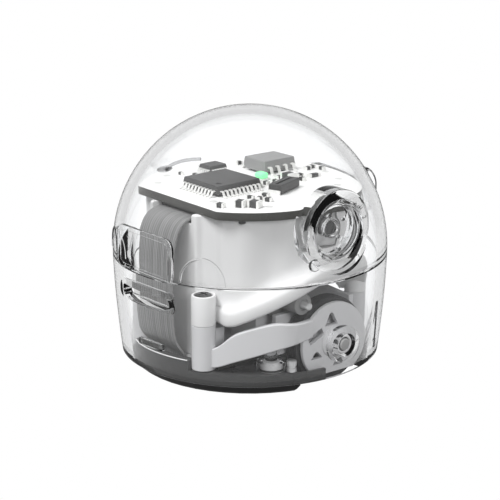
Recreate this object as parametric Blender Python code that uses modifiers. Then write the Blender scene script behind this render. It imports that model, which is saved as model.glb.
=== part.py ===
"""Thumb-sized educational coding robot: a clear domed shell over a round circuit board, a moulded
chassis with two friction-driven wheels, and a dark sensor base.

Metres, +Z up. The origin is on the ground under the centre. Front is -Y, the button side is +X.
"""
from math import cos, pi, radians, sin, sqrt

import bmesh
import bpy
from mathutils import Matrix, Vector

MM = 0.001

# ---------------------------------------------------------------- driving dimensions
GAP = 0.06 * MM              # clearance between pieces that touch

# shell
SHELL_R = 14.3 * MM          # outer radius at its widest height
WIDEST_Z = 12.1 * MM
SHELL_TOP = 26.8 * MM
WALL = 1.0 * MM
SKIRT_BOTTOM_Z = 1.2 * MM
SKIRT_BOTTOM_R = 13.45 * MM
SEAM_Z = 11.7 * MM
LIP_HEIGHT = 0.8 * MM        # the skirt's lip reaches up inside the dome
LIP_WALL = 0.4 * MM
SHELL_STEPS = 48
DOME_BANDS = 11

# button side
BUTTON_Z = 16.7 * MM
BUTTON_R = 3.1 * MM
BUTTON_FACE_X = 13.5 * MM
BUTTON_BORE_R = 3.22 * MM
BUTTON_COLLAR_R = 4.15 * MM
COLLAR_FACE_X = 13.7 * MM
COLLAR_INNER_X = 11.3 * MM

# socket side and front window
SOCKET_Z = 16.4 * MM
SOCKET_COLLAR = (9.4 * MM, 4.8 * MM)
SOCKET_OPENING = (8.0 * MM, 3.3 * MM)
WINDOW_Z = 13.85 * MM
WINDOW_FRAME = (9.0 * MM, 3.7 * MM)
WINDOW_FACE_Y = 13.9 * MM
SLOT_Z = 9.3 * MM
SLOT_OPENING = (7.6 * MM, 1.2 * MM)
SLOT_RIM = (9.0 * MM, 2.2 * MM)

# circuit board
BOARD_TOP = 18.7 * MM
BOARD_THICK = 0.85 * MM
BOARD_R = 11.4 * MM
BOARD_FRONT_Y = 9.5 * MM
BOARD_SIDE_X = 11.0 * MM
BOARD_UNDER = BOARD_TOP - BOARD_THICK

# wheels and motors
AXLE_Y = 1.1 * MM
AXLE_Z = 4.5 * MM
TYRE_R = 4.5 * MM
TYRE_X = (9.4 * MM, 11.0 * MM)
HUB_R = 3.5 * MM
AXLE_R = 0.62 * MM
AXLE_X = (8.0 * MM, 13.7 * MM)
MOTOR_Y = -2.4 * MM
MOTOR_Z = 8.95 * MM
MOTOR_R = 2.2 * MM
MOTOR_X = (1.6 * MM, 8.1 * MM)
ROLLER_R = 1.1 * MM
ROLLER_X = (8.25 * MM, 11.0 * MM)
ROLLER_TIP_X = 11.9 * MM
SHAFT_R = 0.4 * MM

# chassis
BODY_R = 10.5 * MM
BODY_WALL = 1.0 * MM
LIP_R = 12.3 * MM
LIP_THICK = 1.7 * MM
BOSS_X = 4.9 * MM
BOSS_Y = 10.05 * MM
BOSS_R = 1.2 * MM
BOSS_JOINT_Z = 7.0 * MM
BOSS_TOP = 10.1 * MM
PLATE_X = (11.15 * MM, 11.6 * MM)
PLATE_R = 4.1 * MM
PLATE_LOW = 1.27 * MM
NECK_R = 1.1 * MM
RING_R = 1.9 * MM
RING_FACE_X = 13.85 * MM

# base
TRAY_Z = (1.12 * MM, 3.3 * MM)
TRAY_R = 12.3 * MM
LEDGE_Z = 2.25 * MM
TRAY_SIDE_R = 11.9 * MM
FOOT_TOP = 1.05 * MM
FOOT_R = 12.75 * MM
WHEEL_WELL_X = 9.0 * MM
WHEEL_WELL_Y = (-3.4 * MM, 6.1 * MM)
SENSOR_BOARD_Z = (1.95 * MM, 2.5 * MM)
LINE_SENSOR_RADIUS = 8.2 * MM
LINE_SENSOR_ANGLES = (-46, -23, 0, 23, 46)

parts = bpy.data.collections.new("coding_robot")
cutters = bpy.data.collections.new("cutters")


# ---------------------------------------------------------------- helpers
def clear_scene():
    for obj in list(bpy.data.objects):
        bpy.data.objects.remove(obj, do_unlink=True)
    bpy.context.scene.collection.children.link(parts)
    bpy.context.scene.collection.children.link(cutters)


def material(name, colour, roughness=0.5, metallic=0.0, transmission=0.0):
    mat = bpy.data.materials.new(name)
    mat.use_nodes = True
    shader = mat.node_tree.nodes["Principled BSDF"]
    shader.inputs["Base Color"].default_value = (*colour, 1.0)
    shader.inputs["Roughness"].default_value = roughness
    shader.inputs["Metallic"].default_value = metallic
    shader.inputs["Transmission Weight"].default_value = transmission
    return mat


def add(name, mesh, mat=None, smooth=True):
    """Put a mesh in the scene: a part when it has a material, else a cutter."""
    obj = bpy.data.objects.new(name, mesh)
    if mat:
        mesh.materials.append(mat)
        parts.objects.link(obj)
    else:
        cutters.objects.link(obj)
        obj.hide_render = True
        obj.display_type = "WIRE"
    if smooth:
        mesh.shade_smooth()
        mesh.set_sharp_from_angle(angle=radians(35))
    return obj


def finish_mesh(bm, name):
    bmesh.ops.recalc_face_normals(bm, faces=bm.faces)
    mesh = bpy.data.meshes.new(name)
    bm.to_mesh(mesh)
    bm.free()
    return mesh


def box(name, low, high, mat=None, bevel=0.0, turn=0.0):
    """A box between two corners, with optional rounded edges, turned about Z at its centre."""
    low, high = Vector(low), Vector(high)
    bm = bmesh.new()
    bmesh.ops.create_cube(bm, size=1.0)
    bmesh.ops.scale(bm, vec=high - low, verts=bm.verts)
    if bevel:
        bmesh.ops.bevel(bm, geom=bm.edges[:], offset=bevel, segments=1, affect="EDGES", profile=0.5)
    bmesh.ops.rotate(bm, matrix=Matrix.Rotation(radians(turn), 3, "Z"), verts=bm.verts)
    bmesh.ops.translate(bm, vec=(low + high) / 2, verts=bm.verts)
    return add(name, finish_mesh(bm, name), mat)


def rod(name, radius, start, end, mat=None, segments=16, bevel=0.0, radius_end=None):
    """A cylinder or cone from one point to another."""
    start, end = Vector(start), Vector(end)
    bm = bmesh.new()
    bmesh.ops.create_cone(
        bm, cap_ends=True, segments=segments, radius1=radius,
        radius2=radius if radius_end is None else radius_end, depth=(end - start).length)
    if bevel:
        rims = [e for e in bm.edges if abs(e.verts[0].co.z - e.verts[1].co.z) < 1e-7]
        bmesh.ops.bevel(bm, geom=rims, offset=bevel, segments=1, affect="EDGES", profile=0.5)
    turn = (end - start).to_track_quat("Z", "Y").to_matrix()
    bmesh.ops.rotate(bm, matrix=turn, verts=bm.verts)
    bmesh.ops.translate(bm, vec=(start + end) / 2, verts=bm.verts)
    return add(name, finish_mesh(bm, name), mat)


def turned(name, profile, mat=None, steps=48, closed=True, axis="Z", centre=(0, 0, 0)):
    """A profile of (radius, height) points spun about an axis with a Screw modifier."""
    bm = bmesh.new()
    verts = [bm.verts.new((r, 0, h)) for r, h in profile]
    for a, b in zip(verts, verts[1:]):
        bm.edges.new((a, b))
    if closed:
        bm.edges.new((verts[-1], verts[0]))
    mesh = bpy.data.meshes.new(name)
    bm.to_mesh(mesh)
    bm.free()
    obj = add(name, mesh, mat, smooth=False)
    screw = obj.modifiers.new("Screw", "SCREW")
    screw.steps = steps
    screw.render_steps = steps
    screw.use_merge_vertices = True
    screw.merge_threshold = 1e-7
    screw.use_smooth_shade = True
    obj.location = centre
    if axis == "X":
        obj.rotation_euler = (0, pi / 2, 0)
    return obj


def plate(name, outline, z_low, z_high, mat=None):
    """A flat outline with thickness, from a filled 2D curve turned into a mesh."""
    curve = bpy.data.curves.new(name, "CURVE")
    curve.dimensions = "2D"
    curve.fill_mode = "BOTH"
    curve.extrude = (z_high - z_low) / 2
    spline = curve.splines.new("POLY")
    spline.points.add(len(outline) - 1)
    for point, (x, y) in zip(spline.points, outline):
        point.co = (x, y, 0, 1)
    spline.use_cyclic_u = True
    guide = bpy.data.objects.new(name + "_curve", curve)
    cutters.objects.link(guide)
    evaluated = guide.evaluated_get(bpy.context.evaluated_depsgraph_get())
    mesh = bpy.data.meshes.new_from_object(evaluated)
    bpy.data.objects.remove(guide, do_unlink=True)
    bm = bmesh.new()
    bm.from_mesh(mesh)
    bmesh.ops.remove_doubles(bm, verts=bm.verts, dist=1e-7)
    bmesh.ops.translate(bm, vec=(0, 0, (z_low + z_high) / 2), verts=bm.verts)
    return add(name, finish_mesh(bm, name), mat)


def loft(name, sections, mat=None, ring=False):
    """Skin a list of equal-length point loops; a ring joins its last loop to its first."""
    bm = bmesh.new()
    loops = [[bm.verts.new(p) for p in section] for section in sections]
    pairs = list(zip(loops, loops[1:]))
    if ring:
        pairs.append((loops[-1], loops[0]))
    for a, b in pairs:
        for i in range(len(a)):
            j = (i + 1) % len(a)
            bm.faces.new((a[i], a[j], b[j], b[i]))
    if not ring:
        bm.faces.new(reversed(loops[0]))
        bm.faces.new(loops[-1])
    return add(name, finish_mesh(bm, name), mat)


def boolean(obj, other, operation):
    mod = obj.modifiers.new(operation.title(), "BOOLEAN")
    mod.operation = operation
    mod.object = other
    mod.solver = "EXACT"
    if other.name in parts.objects:
        parts.objects.unlink(other)
        cutters.objects.link(other)
        other.hide_render = True
        other.display_type = "WIRE"


def join(obj, *others):
    for other in others:
        boolean(obj, other, "UNION")


def cut(obj, *others):
    for other in others:
        boolean(obj, other, "DIFFERENCE")


def rounded_slab(name, width, height, y_low, y_high, centre_z, corner):
    """A rounded rectangle in the XZ plane with its depth along Y, used to join or to cut."""
    bm = bmesh.new()
    bmesh.ops.create_cube(bm, size=1.0)
    bmesh.ops.scale(bm, vec=(width, y_high - y_low, height), verts=bm.verts)
    long_edges = [e for e in bm.edges if abs(e.verts[0].co.y - e.verts[1].co.y) > 1e-7]
    bmesh.ops.bevel(bm, geom=long_edges, offset=corner, segments=4, affect="EDGES", profile=0.5)
    bmesh.ops.translate(bm, vec=(0, (y_low + y_high) / 2, centre_z), verts=bm.verts)
    return add(name, finish_mesh(bm, name))


def polar(radius, azimuth, z):
    """A point at an azimuth in degrees from the front (-Y) towards +X."""
    a = radians(azimuth)
    return Vector((radius * sin(a), -radius * cos(a), z))


def blend(x, points):
    """Piecewise linear value at x through (x, value) points."""
    for (x0, v0), (x1, v1) in zip(points, points[1:]):
        if x <= x1:
            return v0 + (v1 - v0) * (x - x0) / (x1 - x0)
    return points[-1][1]


SIDES = (("left", 1), ("right", -1))


# ---------------------------------------------------------------- clear shell
def skirt_radius(z):
    return SHELL_R - (SHELL_R - SKIRT_BOTTOM_R) * ((WIDEST_Z - z) / (WIDEST_Z - SKIRT_BOTTOM_Z)) ** 1.6


def dome_curve(offset, count):
    """Quarter ellipse from the widest height (first) up to the top on the axis (last)."""
    height = SHELL_TOP - WIDEST_Z
    for i in range(count + 1):
        t = i / count * pi / 2
        yield ((SHELL_R - offset) * cos(t), WIDEST_Z + (height - offset) * sin(t))


def clear_dome(mat):
    outer = [(r if i < DOME_BANDS else 0.0, z) for i, (r, z) in enumerate(dome_curve(0.0, DOME_BANDS))]
    inner = [(r if i < DOME_BANDS else 0.0, z) for i, (r, z) in enumerate(dome_curve(WALL, DOME_BANDS))]
    low = SEAM_Z + GAP
    profile = outer[::-1] + [(SHELL_R, low), (SHELL_R - WALL, low)] + inner
    dome = turned("clear_dome", profile, mat, steps=SHELL_STEPS, closed=False)
    collar = rod("button_collar", BUTTON_COLLAR_R, (COLLAR_INNER_X, 0, BUTTON_Z),
                 (COLLAR_FACE_X + 0.3 * MM, 0, BUTTON_Z), segments=36)
    socket_collar = rounded_slab("socket_collar", *SOCKET_COLLAR, 11.9 * MM, 13.95 * MM, SOCKET_Z, 1.6 * MM)
    window = rounded_slab("window_frame", *WINDOW_FRAME, -14.2 * MM, -13.4 * MM, WINDOW_Z, 1.1 * MM)
    join(dome, collar, socket_collar, window)
    bore = rod("button_bore", BUTTON_BORE_R, (10.5 * MM, 0, BUTTON_Z), (16 * MM, 0, BUTTON_Z), segments=36)
    face = rod("button_face", BUTTON_COLLAR_R + 0.2 * MM, (COLLAR_FACE_X, 0, BUTTON_Z),
               (16 * MM, 0, BUTTON_Z), segments=36)
    opening = rounded_slab("socket_opening", *SOCKET_OPENING, 11 * MM, 16 * MM, SOCKET_Z, 1.1 * MM)
    back_face = rounded_slab("socket_face", 10.4 * MM, 5.4 * MM, 13.7 * MM, 16 * MM, SOCKET_Z, 1.8 * MM)
    front_face = rounded_slab("window_face", 9.6 * MM, 4.1 * MM, -16 * MM, -WINDOW_FACE_Y, WINDOW_Z, 1.2 * MM)
    lip_room = box("lip_room", (9 * MM, -4.4 * MM, 10 * MM), (LIP_R + 0.08 * MM, 4.4 * MM, 13.3 * MM))
    cut(dome, bore, face, opening, back_face, front_face, lip_room)


def clear_skirt(mat):
    heights = [SEAM_Z - (SEAM_Z - SKIRT_BOTTOM_Z) * i / 6 for i in range(7)]
    outer = [(skirt_radius(z), z) for z in heights]
    inner = [(skirt_radius(z) - WALL, z) for z in heights[::-1]]
    lip_out = SHELL_R - WALL - GAP
    lip_in = lip_out - LIP_WALL
    lip_top = SEAM_Z + LIP_HEIGHT
    profile = [(lip_in, lip_top), (lip_out, lip_top), (lip_out, SEAM_Z)] + outer + inner[:-1]
    profile += [(lip_in, SEAM_Z - 0.6 * MM)]
    skirt = turned("clear_skirt", profile, mat, steps=SHELL_STEPS)
    rim = rounded_slab("slot_rim", *SLOT_RIM, -13.6 * MM, -12.75 * MM, SLOT_Z, 0.8 * MM)
    tab = box("snap_tab", (-1.8 * MM, -13.2 * MM, 3.8 * MM), (1.8 * MM, -12.3 * MM, 4.5 * MM))
    join(skirt, rim, tab)
    slot = rounded_slab("slot_opening", *SLOT_OPENING, -16 * MM, -12 * MM, SLOT_Z, 0.55 * MM)
    lip_notch = box("lip_notch", (10 * MM, -3.6 * MM, SEAM_Z + 0.02 * MM), (13.6 * MM, 3.6 * MM, 14 * MM))
    cut(skirt, slot, lip_notch)
    for side, s in SIDES:
        ring = rod(side + "_ring", RING_R, (s * 12.45 * MM, AXLE_Y, AXLE_Z),
                   (s * RING_FACE_X, AXLE_Y, AXLE_Z), segments=20)
        join(skirt, ring)
        hole = rod(side + "_ring_hole", NECK_R + 0.1 * MM, (s * 11 * MM, AXLE_Y, AXLE_Z),
                   (s * 16 * MM, AXLE_Y, AXLE_Z), segments=20)
        cut(skirt, hole)


def power_button(mat):
    stem_x = 11.55 * MM
    profile = [
        (0, BUTTON_FACE_X - 0.15 * MM), (BUTTON_R - 0.5 * MM, BUTTON_FACE_X - 0.15 * MM),
        (BUTTON_R - 0.3 * MM, BUTTON_FACE_X), (BUTTON_R - 0.1 * MM, BUTTON_FACE_X),
        (BUTTON_R, BUTTON_FACE_X - 0.15 * MM), (BUTTON_R, 12.2 * MM), (BUTTON_R - 0.5 * MM, 12.2 * MM),
        (BUTTON_R - 0.5 * MM, 12.6 * MM), (0.9 * MM, 12.6 * MM), (0.9 * MM, stem_x), (0, stem_x)]
    turned("power_button", profile, mat, steps=28, closed=False, axis="X", centre=(0, 0, BUTTON_Z))


def power_switch(body_mat, plunger_mat):
    box("power_switch", (8.5 * MM, -2.2 * MM, 14.1 * MM), (10.5 * MM, 2.2 * MM, BOARD_UNDER - GAP),
        body_mat, bevel=0.12 * MM)
    rod("switch_plunger", 0.85 * MM, (10.5 * MM + GAP + 0.34 * MM, 0, BUTTON_Z),
        (11.55 * MM - 0.02 * MM, 0, BUTTON_Z), plunger_mat, segments=20, bevel=0.1 * MM)


# ---------------------------------------------------------------- electronics
def main_board(mat):
    outline = []
    for i in range(72):
        x, y = BOARD_R * cos(i / 72 * 2 * pi), BOARD_R * sin(i / 72 * 2 * pi)
        outline.append((max(-BOARD_SIDE_X, min(BOARD_SIDE_X, x)), max(-BOARD_FRONT_Y, y)))
    plate("main_board", outline, BOARD_UNDER, BOARD_TOP, mat)


def chips(dark, silver, green):
    base = BOARD_TOP + GAP
    half = 2.8 * MM
    box("microcontroller", (-0.4 * MM - half, -3.4 * MM - half, base),
        (-0.4 * MM + half, -3.4 * MM + half, 19.8 * MM), dark, bevel=0.12 * MM)
    box("driver_chip", (-5.0 * MM, 3.3 * MM, base), (-1.5 * MM, 7.6 * MM, 20.2 * MM), silver, bevel=0.15 * MM)
    box("memory_chip", (-7.4 * MM, -0.95 * MM, base), (-5.4 * MM, 1.35 * MM, 19.6 * MM), dark, bevel=0.08 * MM)
    box("side_connector", (3.6 * MM, -1.2 * MM, base), (5.2 * MM, 2.8 * MM, 19.7 * MM), dark,
        bevel=0.12 * MM, turn=20)
    box("status_led", (-1.1 * MM, 1.3 * MM, base), (0.3 * MM, 2.5 * MM, 19.5 * MM), green, bevel=0.2 * MM)


def flex_cable(mat):
    centre = [(-8.95, 17.3), (-9.9, 17.25), (-10.7, 16.95), (-11.3, 16.3), (-11.75, 15.2), (-12.1, 13.6),
              (-12.25, 12.0), (-12.25, 10.0), (-12.2, 8.0), (-12.05, 6.2), (-11.8, 4.9), (-11.2, 3.95),
              (-10.8, 3.35), (-10.75, 2.65)]
    half = 0.11
    left, right = [], []
    for i, (y, z) in enumerate(centre):
        y0, z0 = centre[max(i - 1, 0)]
        y1, z1 = centre[min(i + 1, len(centre) - 1)]
        length = sqrt((y1 - y0) ** 2 + (z1 - z0) ** 2)
        ny, nz = (z1 - z0) / length * half, -(y1 - y0) / length * half
        left.append(((y + ny) * MM, (z + nz) * MM))
        right.append(((y - ny) * MM, (z - nz) * MM))
    flex = plate("flex_cable", left + right[::-1], -2.8 * MM, 2.8 * MM, mat)
    # the outline was drawn in (y, z); turn it so that its thickness runs along X
    flex.data.transform(Matrix(((0, 0, 1, 0), (1, 0, 0, 0), (0, 1, 0, 0), (0, 0, 0, 1))))
    box("flex_connector", (-3.2 * MM, -8.85 * MM, 16.7 * MM), (3.2 * MM, -7.6 * MM, BOARD_UNDER - GAP),
        dark_plastic, bevel=0.1 * MM)


def usb_socket(mat):
    low, high = SOCKET_Z - 1.35 * MM, SOCKET_Z + 1.35 * MM
    socket = box("usb_socket", (-3.75 * MM, 8.4 * MM, low), (3.75 * MM, 13.3 * MM, high), mat, bevel=0.5 * MM)
    mouth = box("usb_mouth", (-3.35 * MM, 9.4 * MM, low + 0.35 * MM), (3.35 * MM, 14 * MM, high - 0.35 * MM))
    cut(socket, mouth)
    box("usb_tongue", (-2.4 * MM, 9.4 * MM + GAP, SOCKET_Z - 0.3 * MM),
        (2.4 * MM, 12.7 * MM, SOCKET_Z + 0.3 * MM), dark_plastic)


def battery(mat):
    box("battery", (-6.4 * MM, -7.0 * MM, 11.6 * MM), (6.4 * MM, 7.0 * MM, 15.2 * MM), mat, bevel=0.7 * MM)


def motors(can_mat, shaft_mat):
    for side, s in SIDES:
        can = rod(side + "_motor_can", MOTOR_R, (s * MOTOR_X[0], MOTOR_Y, MOTOR_Z),
                  (s * MOTOR_X[1], MOTOR_Y, MOTOR_Z), can_mat, segments=24, bevel=0.2 * MM)
        bore = rod(side + "_can_bore", SHAFT_R + 0.1 * MM, (s * 6.5 * MM, MOTOR_Y, MOTOR_Z),
                   (s * 9 * MM, MOTOR_Y, MOTOR_Z))
        cut(can, bore)
        shaft = rod(side + "_motor_shaft", SHAFT_R, (s * 6.6 * MM, MOTOR_Y, MOTOR_Z),
                    (s * ROLLER_TIP_X, MOTOR_Y, MOTOR_Z), shaft_mat, segments=12, bevel=0.06 * MM)
        roller = rod(side + "_roller", ROLLER_R, (s * ROLLER_X[0], MOTOR_Y, MOTOR_Z),
                     (s * ROLLER_X[1], MOTOR_Y, MOTOR_Z), segments=20, bevel=0.08 * MM)
        join(shaft, roller)


# ---------------------------------------------------------------- chassis
def lip_height(azimuth):
    """Lower edge of the upper chassis, which arches over each wheel; azimuth from the front."""
    return MM * blend(azimuth, [
        (0, 2.75), (17, 2.75), (17.5, 7.07), (34, 7.07), (41, 7.1), (84, 11.0),
        (120, 10.7), (134, 8.9), (146, 7.1), (180, 7.1)])


def body_radius(azimuth):
    return MM * blend(azimuth, [
        (0, 10.4), (16, 10.5), (20, 10.6), (23, 10.2), (30, 10.2), (36, 10.6), (46, 10.9),
        (62, 10.3), (72, 10.6), (90, 10.5), (110, 10.6), (134, 10.4), (150, 10.7), (180, 10.3)])


def upper_chassis(mat):
    sections = []
    azimuths = [0, 9, 17, 17.5, 20, 23, 26.5, 30, 36, 41, 46, 52, 58, 62, 67, 72, 77, 82, 90, 98, 106, 113, 120,
                127, 134, 140, 146, 150, 158, 166, 173, 180]
    for azimuth in azimuths + [-a for a in azimuths[-2:0:-1]]:
        a = abs(azimuth)
        low = lip_height(a)
        body = body_radius(a)
        top = BOARD_UNDER - GAP
        lip = MM * blend(a, [(0, 10.45), (17, 10.8), (31, 10.6), (40, 12.0), (50, 12.3), (140, 12.3),
                             (150, 11.4), (160, 10.8), (180, 10.5)])
        step = LIP_THICK if a > 17.2 else 0.5 * MM
        inner = min(body, BODY_R) - BODY_WALL
        sections.append([
            polar(inner, azimuth, low), polar(lip - 0.25 * MM, azimuth, low),
            polar(lip, azimuth, low + 0.25 * MM), polar(lip, azimuth, low + step - 0.3 * MM),
            polar(lip - 0.3 * MM if lip > body + 0.4 * MM else lip, azimuth, low + step),
            polar(body + (lip - body) * 0.15, azimuth, low + step + 0.25 * MM),
            polar(body, azimuth, low + step + 1.0 * MM), polar(body, azimuth, top),
            polar(inner, azimuth, top)])
    chassis = loft("upper_chassis", sections, mat, ring=True)
    for side, s in SIDES:
        for end, e in (("front", -1), ("rear", 1)):
            x, y = s * BOSS_X * (1 if e < 0 else 1.35), e * BOSS_Y * (1 if e < 0 else 0.9)
            tube = rod(f"{side}_{end}_tube", BOSS_R, (x, y, BOSS_JOINT_Z + GAP), (x, y, BOSS_TOP))
            join(chassis, tube)
            head = rod(f"{side}_{end}_counterbore", 0.95 * MM, (x, y, 9.5 * MM), (x, y, 10.4 * MM))
            bore = rod(f"{side}_{end}_bore", 0.55 * MM, (x, y, 6 * MM), (x, y, 10 * MM))
            cut(chassis, head, bore)
    switch_notch = box("switch_notch", (8.3 * MM, -2.5 * MM, 13.8 * MM), (12.9 * MM, 2.5 * MM, 19 * MM))
    socket_notch = box("socket_notch", (-4.0 * MM, 8.0 * MM, 14.7 * MM), (4.0 * MM, 12 * MM, 19 * MM))
    flex_notch = box("flex_notch", (-3.1 * MM, -12 * MM, 16.9 * MM), (3.1 * MM, -8.0 * MM, 19 * MM))
    cut(chassis, switch_notch, socket_notch, flex_notch)


def lower_chassis(mat):
    chassis = box("lower_chassis", (-9.1 * MM, -8.2 * MM, 3.4 * MM), (9.1 * MM, 8.2 * MM, 4.3 * MM), mat)
    for number, (s, e, reach) in enumerate(((1, 1, 1.5), (-1, 1, 1.5), (1, -1, 3.2), (-1, -1, 3.2))):
        x, y, reach = s * 9.1 * MM, e * 8.2 * MM, reach * MM
        cut(chassis, box(f"corner_{number}", (x - reach, y - reach, 3 * MM),
                         (x + reach, y + reach, 5 * MM), turn=45))
    join(chassis, box("rear_panel", (-7.3 * MM, 7.45 * MM, 3.9 * MM), (7.3 * MM, 8.05 * MM, 6.93 * MM)))
    for side, s in SIDES:
        cheek = box(side + "_cheek", (min(s * 8.3, s * 9.0) * MM, -4.2 * MM, 3.5 * MM),
                    (max(s * 8.3, s * 9.0) * MM, 4.2 * MM, 7.6 * MM))
        cradle = box(side + "_cradle", (min(s * 3.0, s * 7.0) * MM, MOTOR_Y - 2.7 * MM, 4.0 * MM),
                     (max(s * 3.0, s * 7.0) * MM, MOTOR_Y + 2.7 * MM, 8.2 * MM))
        join(chassis, cheek, cradle)
        groove = rod(side + "_groove", MOTOR_R + GAP, (s * 1 * MM, MOTOR_Y, MOTOR_Z),
                     (s * 8.2 * MM, MOTOR_Y, MOTOR_Z), segments=20)
        cut(chassis, groove)
        for end, e in (("front", -1), ("rear", 1)):
            x, y = s * BOSS_X * (1 if e < 0 else 1.35), e * BOSS_Y * (1 if e < 0 else 0.9)
            foot = 2.31 * MM if e < 0 else 3.36 * MM
            boss = rod(f"{side}_{end}_boss", BOSS_R, (x, y, foot), (x, y, BOSS_JOINT_Z))
            rib = box(f"{side}_{end}_rib", (x - 0.5 * MM, min(y, e * 7.8 * MM), 3.45 * MM),
                      (x + 0.5 * MM, max(y, e * 7.8 * MM), 6.4 * MM))
            join(chassis, rib, boss)
        join(chassis, arm(side, s))
        join(chassis, end_plate(side, s))
        for end, e in (("front", -1), ("rear", 1)):
            x, y = s * BOSS_X * (1 if e < 0 else 1.35), e * BOSS_Y * (1 if e < 0 else 0.9)
            cut(chassis, rod(f"{side}_{end}_boss_bore", 0.52 * MM, (x, y, 4.0 * MM), (x, y, 8 * MM)))
        cut(chassis, rod(side + "_axle_bore", AXLE_R + 0.1 * MM, (s * 7.9 * MM, AXLE_Y, AXLE_Z),
                         (s * 15 * MM, AXLE_Y, AXLE_Z)))
        for number, angle in enumerate((60, 150, 285)):
            a = radians(angle)
            y, z = AXLE_Y + 2.5 * MM * cos(a), AXLE_Z + 2.5 * MM * sin(a)
            cut(chassis, rod(f"{side}_window_{number}", 0.75 * MM, (s * 11.1 * MM, y, z),
                             (s * 12.1 * MM, y, z), segments=12))


def arm(side, s):
    """The bar that sweeps from the front boss up to the wheel's end plate."""
    route = [(5.2, -9.9, 2.45, 4.3), (6.6, -9.5, 2.8, 4.9), (8.0, -8.6, 3.5, 6.2), (9.5, -7.1, 4.2, 7.1),
             (10.65, -5.7, 4.8, 7.7), (11.3, -4.6, 5.1, 7.8), (11.5, -3.4, 5.4, 7.7), (11.5, -1.8, 5.6, 7.4)]
    half = 0.36
    sections = []
    for i, (x, y, low, high) in enumerate(route):
        x0, y0 = route[max(i - 1, 0)][:2]
        x1, y1 = route[min(i + 1, len(route) - 1)][:2]
        length = sqrt((x1 - x0) ** 2 + (y1 - y0) ** 2)
        nx, ny = (y1 - y0) / length * half, -(x1 - x0) / length * half
        corners = [(x - nx, y - ny, low), (x + nx, y + ny, low), (x + nx, y + ny, high), (x - nx, y - ny, high)]
        sections.append([(s * cx * MM, cy * MM, cz * MM) for cx, cy, cz in corners])
    return loft(side + "_arm", sections)


def end_plate(side, s):
    """Disc outside the wheel, with its foot web and the neck that carries the axle end."""
    plate_obj = rod(side + "_plate", PLATE_R, (s * PLATE_X[0], AXLE_Y, AXLE_Z),
                    (s * PLATE_X[1], AXLE_Y, AXLE_Z), segments=28)
    heights = [PLATE_LOW + (9.5 * MM - PLATE_LOW) * i / 8 for i in range(9)]
    room = turned(side + "_room", [(0, heights[-1])]
                  + [(skirt_radius(z) - WALL - 0.13 * MM, z) for z in reversed(heights)]
                  + [(0, heights[0])], closed=False)
    boolean(plate_obj, room, "INTERSECT")
    neck = rod(side + "_neck", NECK_R, (s * 11.4 * MM, AXLE_Y, AXLE_Z),
               (s * 13.55 * MM, AXLE_Y, AXLE_Z), segments=20, radius_end=NECK_R - 0.1 * MM)
    join(plate_obj, neck)
    return plate_obj


def screws(mat):
    for side, s in SIDES:
        for end, e in (("front", -1), ("rear", 1)):
            x, y = s * BOSS_X * (1 if e < 0 else 1.35), e * BOSS_Y * (1 if e < 0 else 0.9)
            screw = turned(f"{side}_{end}_screw", [
                (0, 10.2 * MM), (0.6 * MM, 10.2 * MM), (0.88 * MM, 9.95 * MM), (0.88 * MM, 9.5 * MM + GAP),
                (0.42 * MM, 9.5 * MM + GAP), (0.42 * MM, 4.4 * MM), (0, 4.1 * MM)],
                mat, steps=12, closed=False, centre=(x, y, 0))
            for name, dx, dy in (("a", 0.5, 0.13), ("b", 0.13, 0.5)):
                cut(screw, box(f"{side}_{end}_recess_{name}", (x - dx * MM, y - dy * MM, 9.85 * MM),
                               (x + dx * MM, y + dy * MM, 11 * MM)))


# ---------------------------------------------------------------- wheels
def wheels(rubber, hub_mat, steel):
    mid = (TYRE_X[0] + TYRE_X[1]) / 2
    half = (TYRE_X[1] - TYRE_X[0]) / 2
    for side, s in SIDES:
        centre = (s * mid, AXLE_Y, AXLE_Z)
        tyre = [(TYRE_R, half - 0.35 * MM), (TYRE_R, -half + 0.35 * MM), (TYRE_R - 0.3 * MM, -half),
                (HUB_R + GAP, -half), (HUB_R + GAP, half), (TYRE_R - 0.3 * MM, half)]
        turned(side + "_tyre", tyre, rubber, steps=32, axis="X", centre=centre)
        bore = AXLE_R + GAP
        hub = [(HUB_R, half - 0.15 * MM), (HUB_R, -half + 0.15 * MM), (HUB_R - 0.6 * MM, -half + 0.15 * MM),
               (HUB_R - 0.8 * MM, -0.25 * MM), (1.4 * MM, -0.25 * MM), (1.3 * MM, -half + 0.1 * MM),
               (bore, -half + 0.1 * MM), (bore, half - 0.1 * MM), (1.3 * MM, half - 0.1 * MM),
               (1.4 * MM, 0.25 * MM), (HUB_R - 0.8 * MM, 0.25 * MM), (HUB_R - 0.6 * MM, half - 0.15 * MM)]
        turned(side + "_hub", hub, hub_mat, steps=24, axis="X", centre=centre)
        rod(side + "_axle", AXLE_R, (s * AXLE_X[0], AXLE_Y, AXLE_Z), (s * AXLE_X[1], AXLE_Y, AXLE_Z),
            steel, segments=16, bevel=0.08 * MM)


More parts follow.
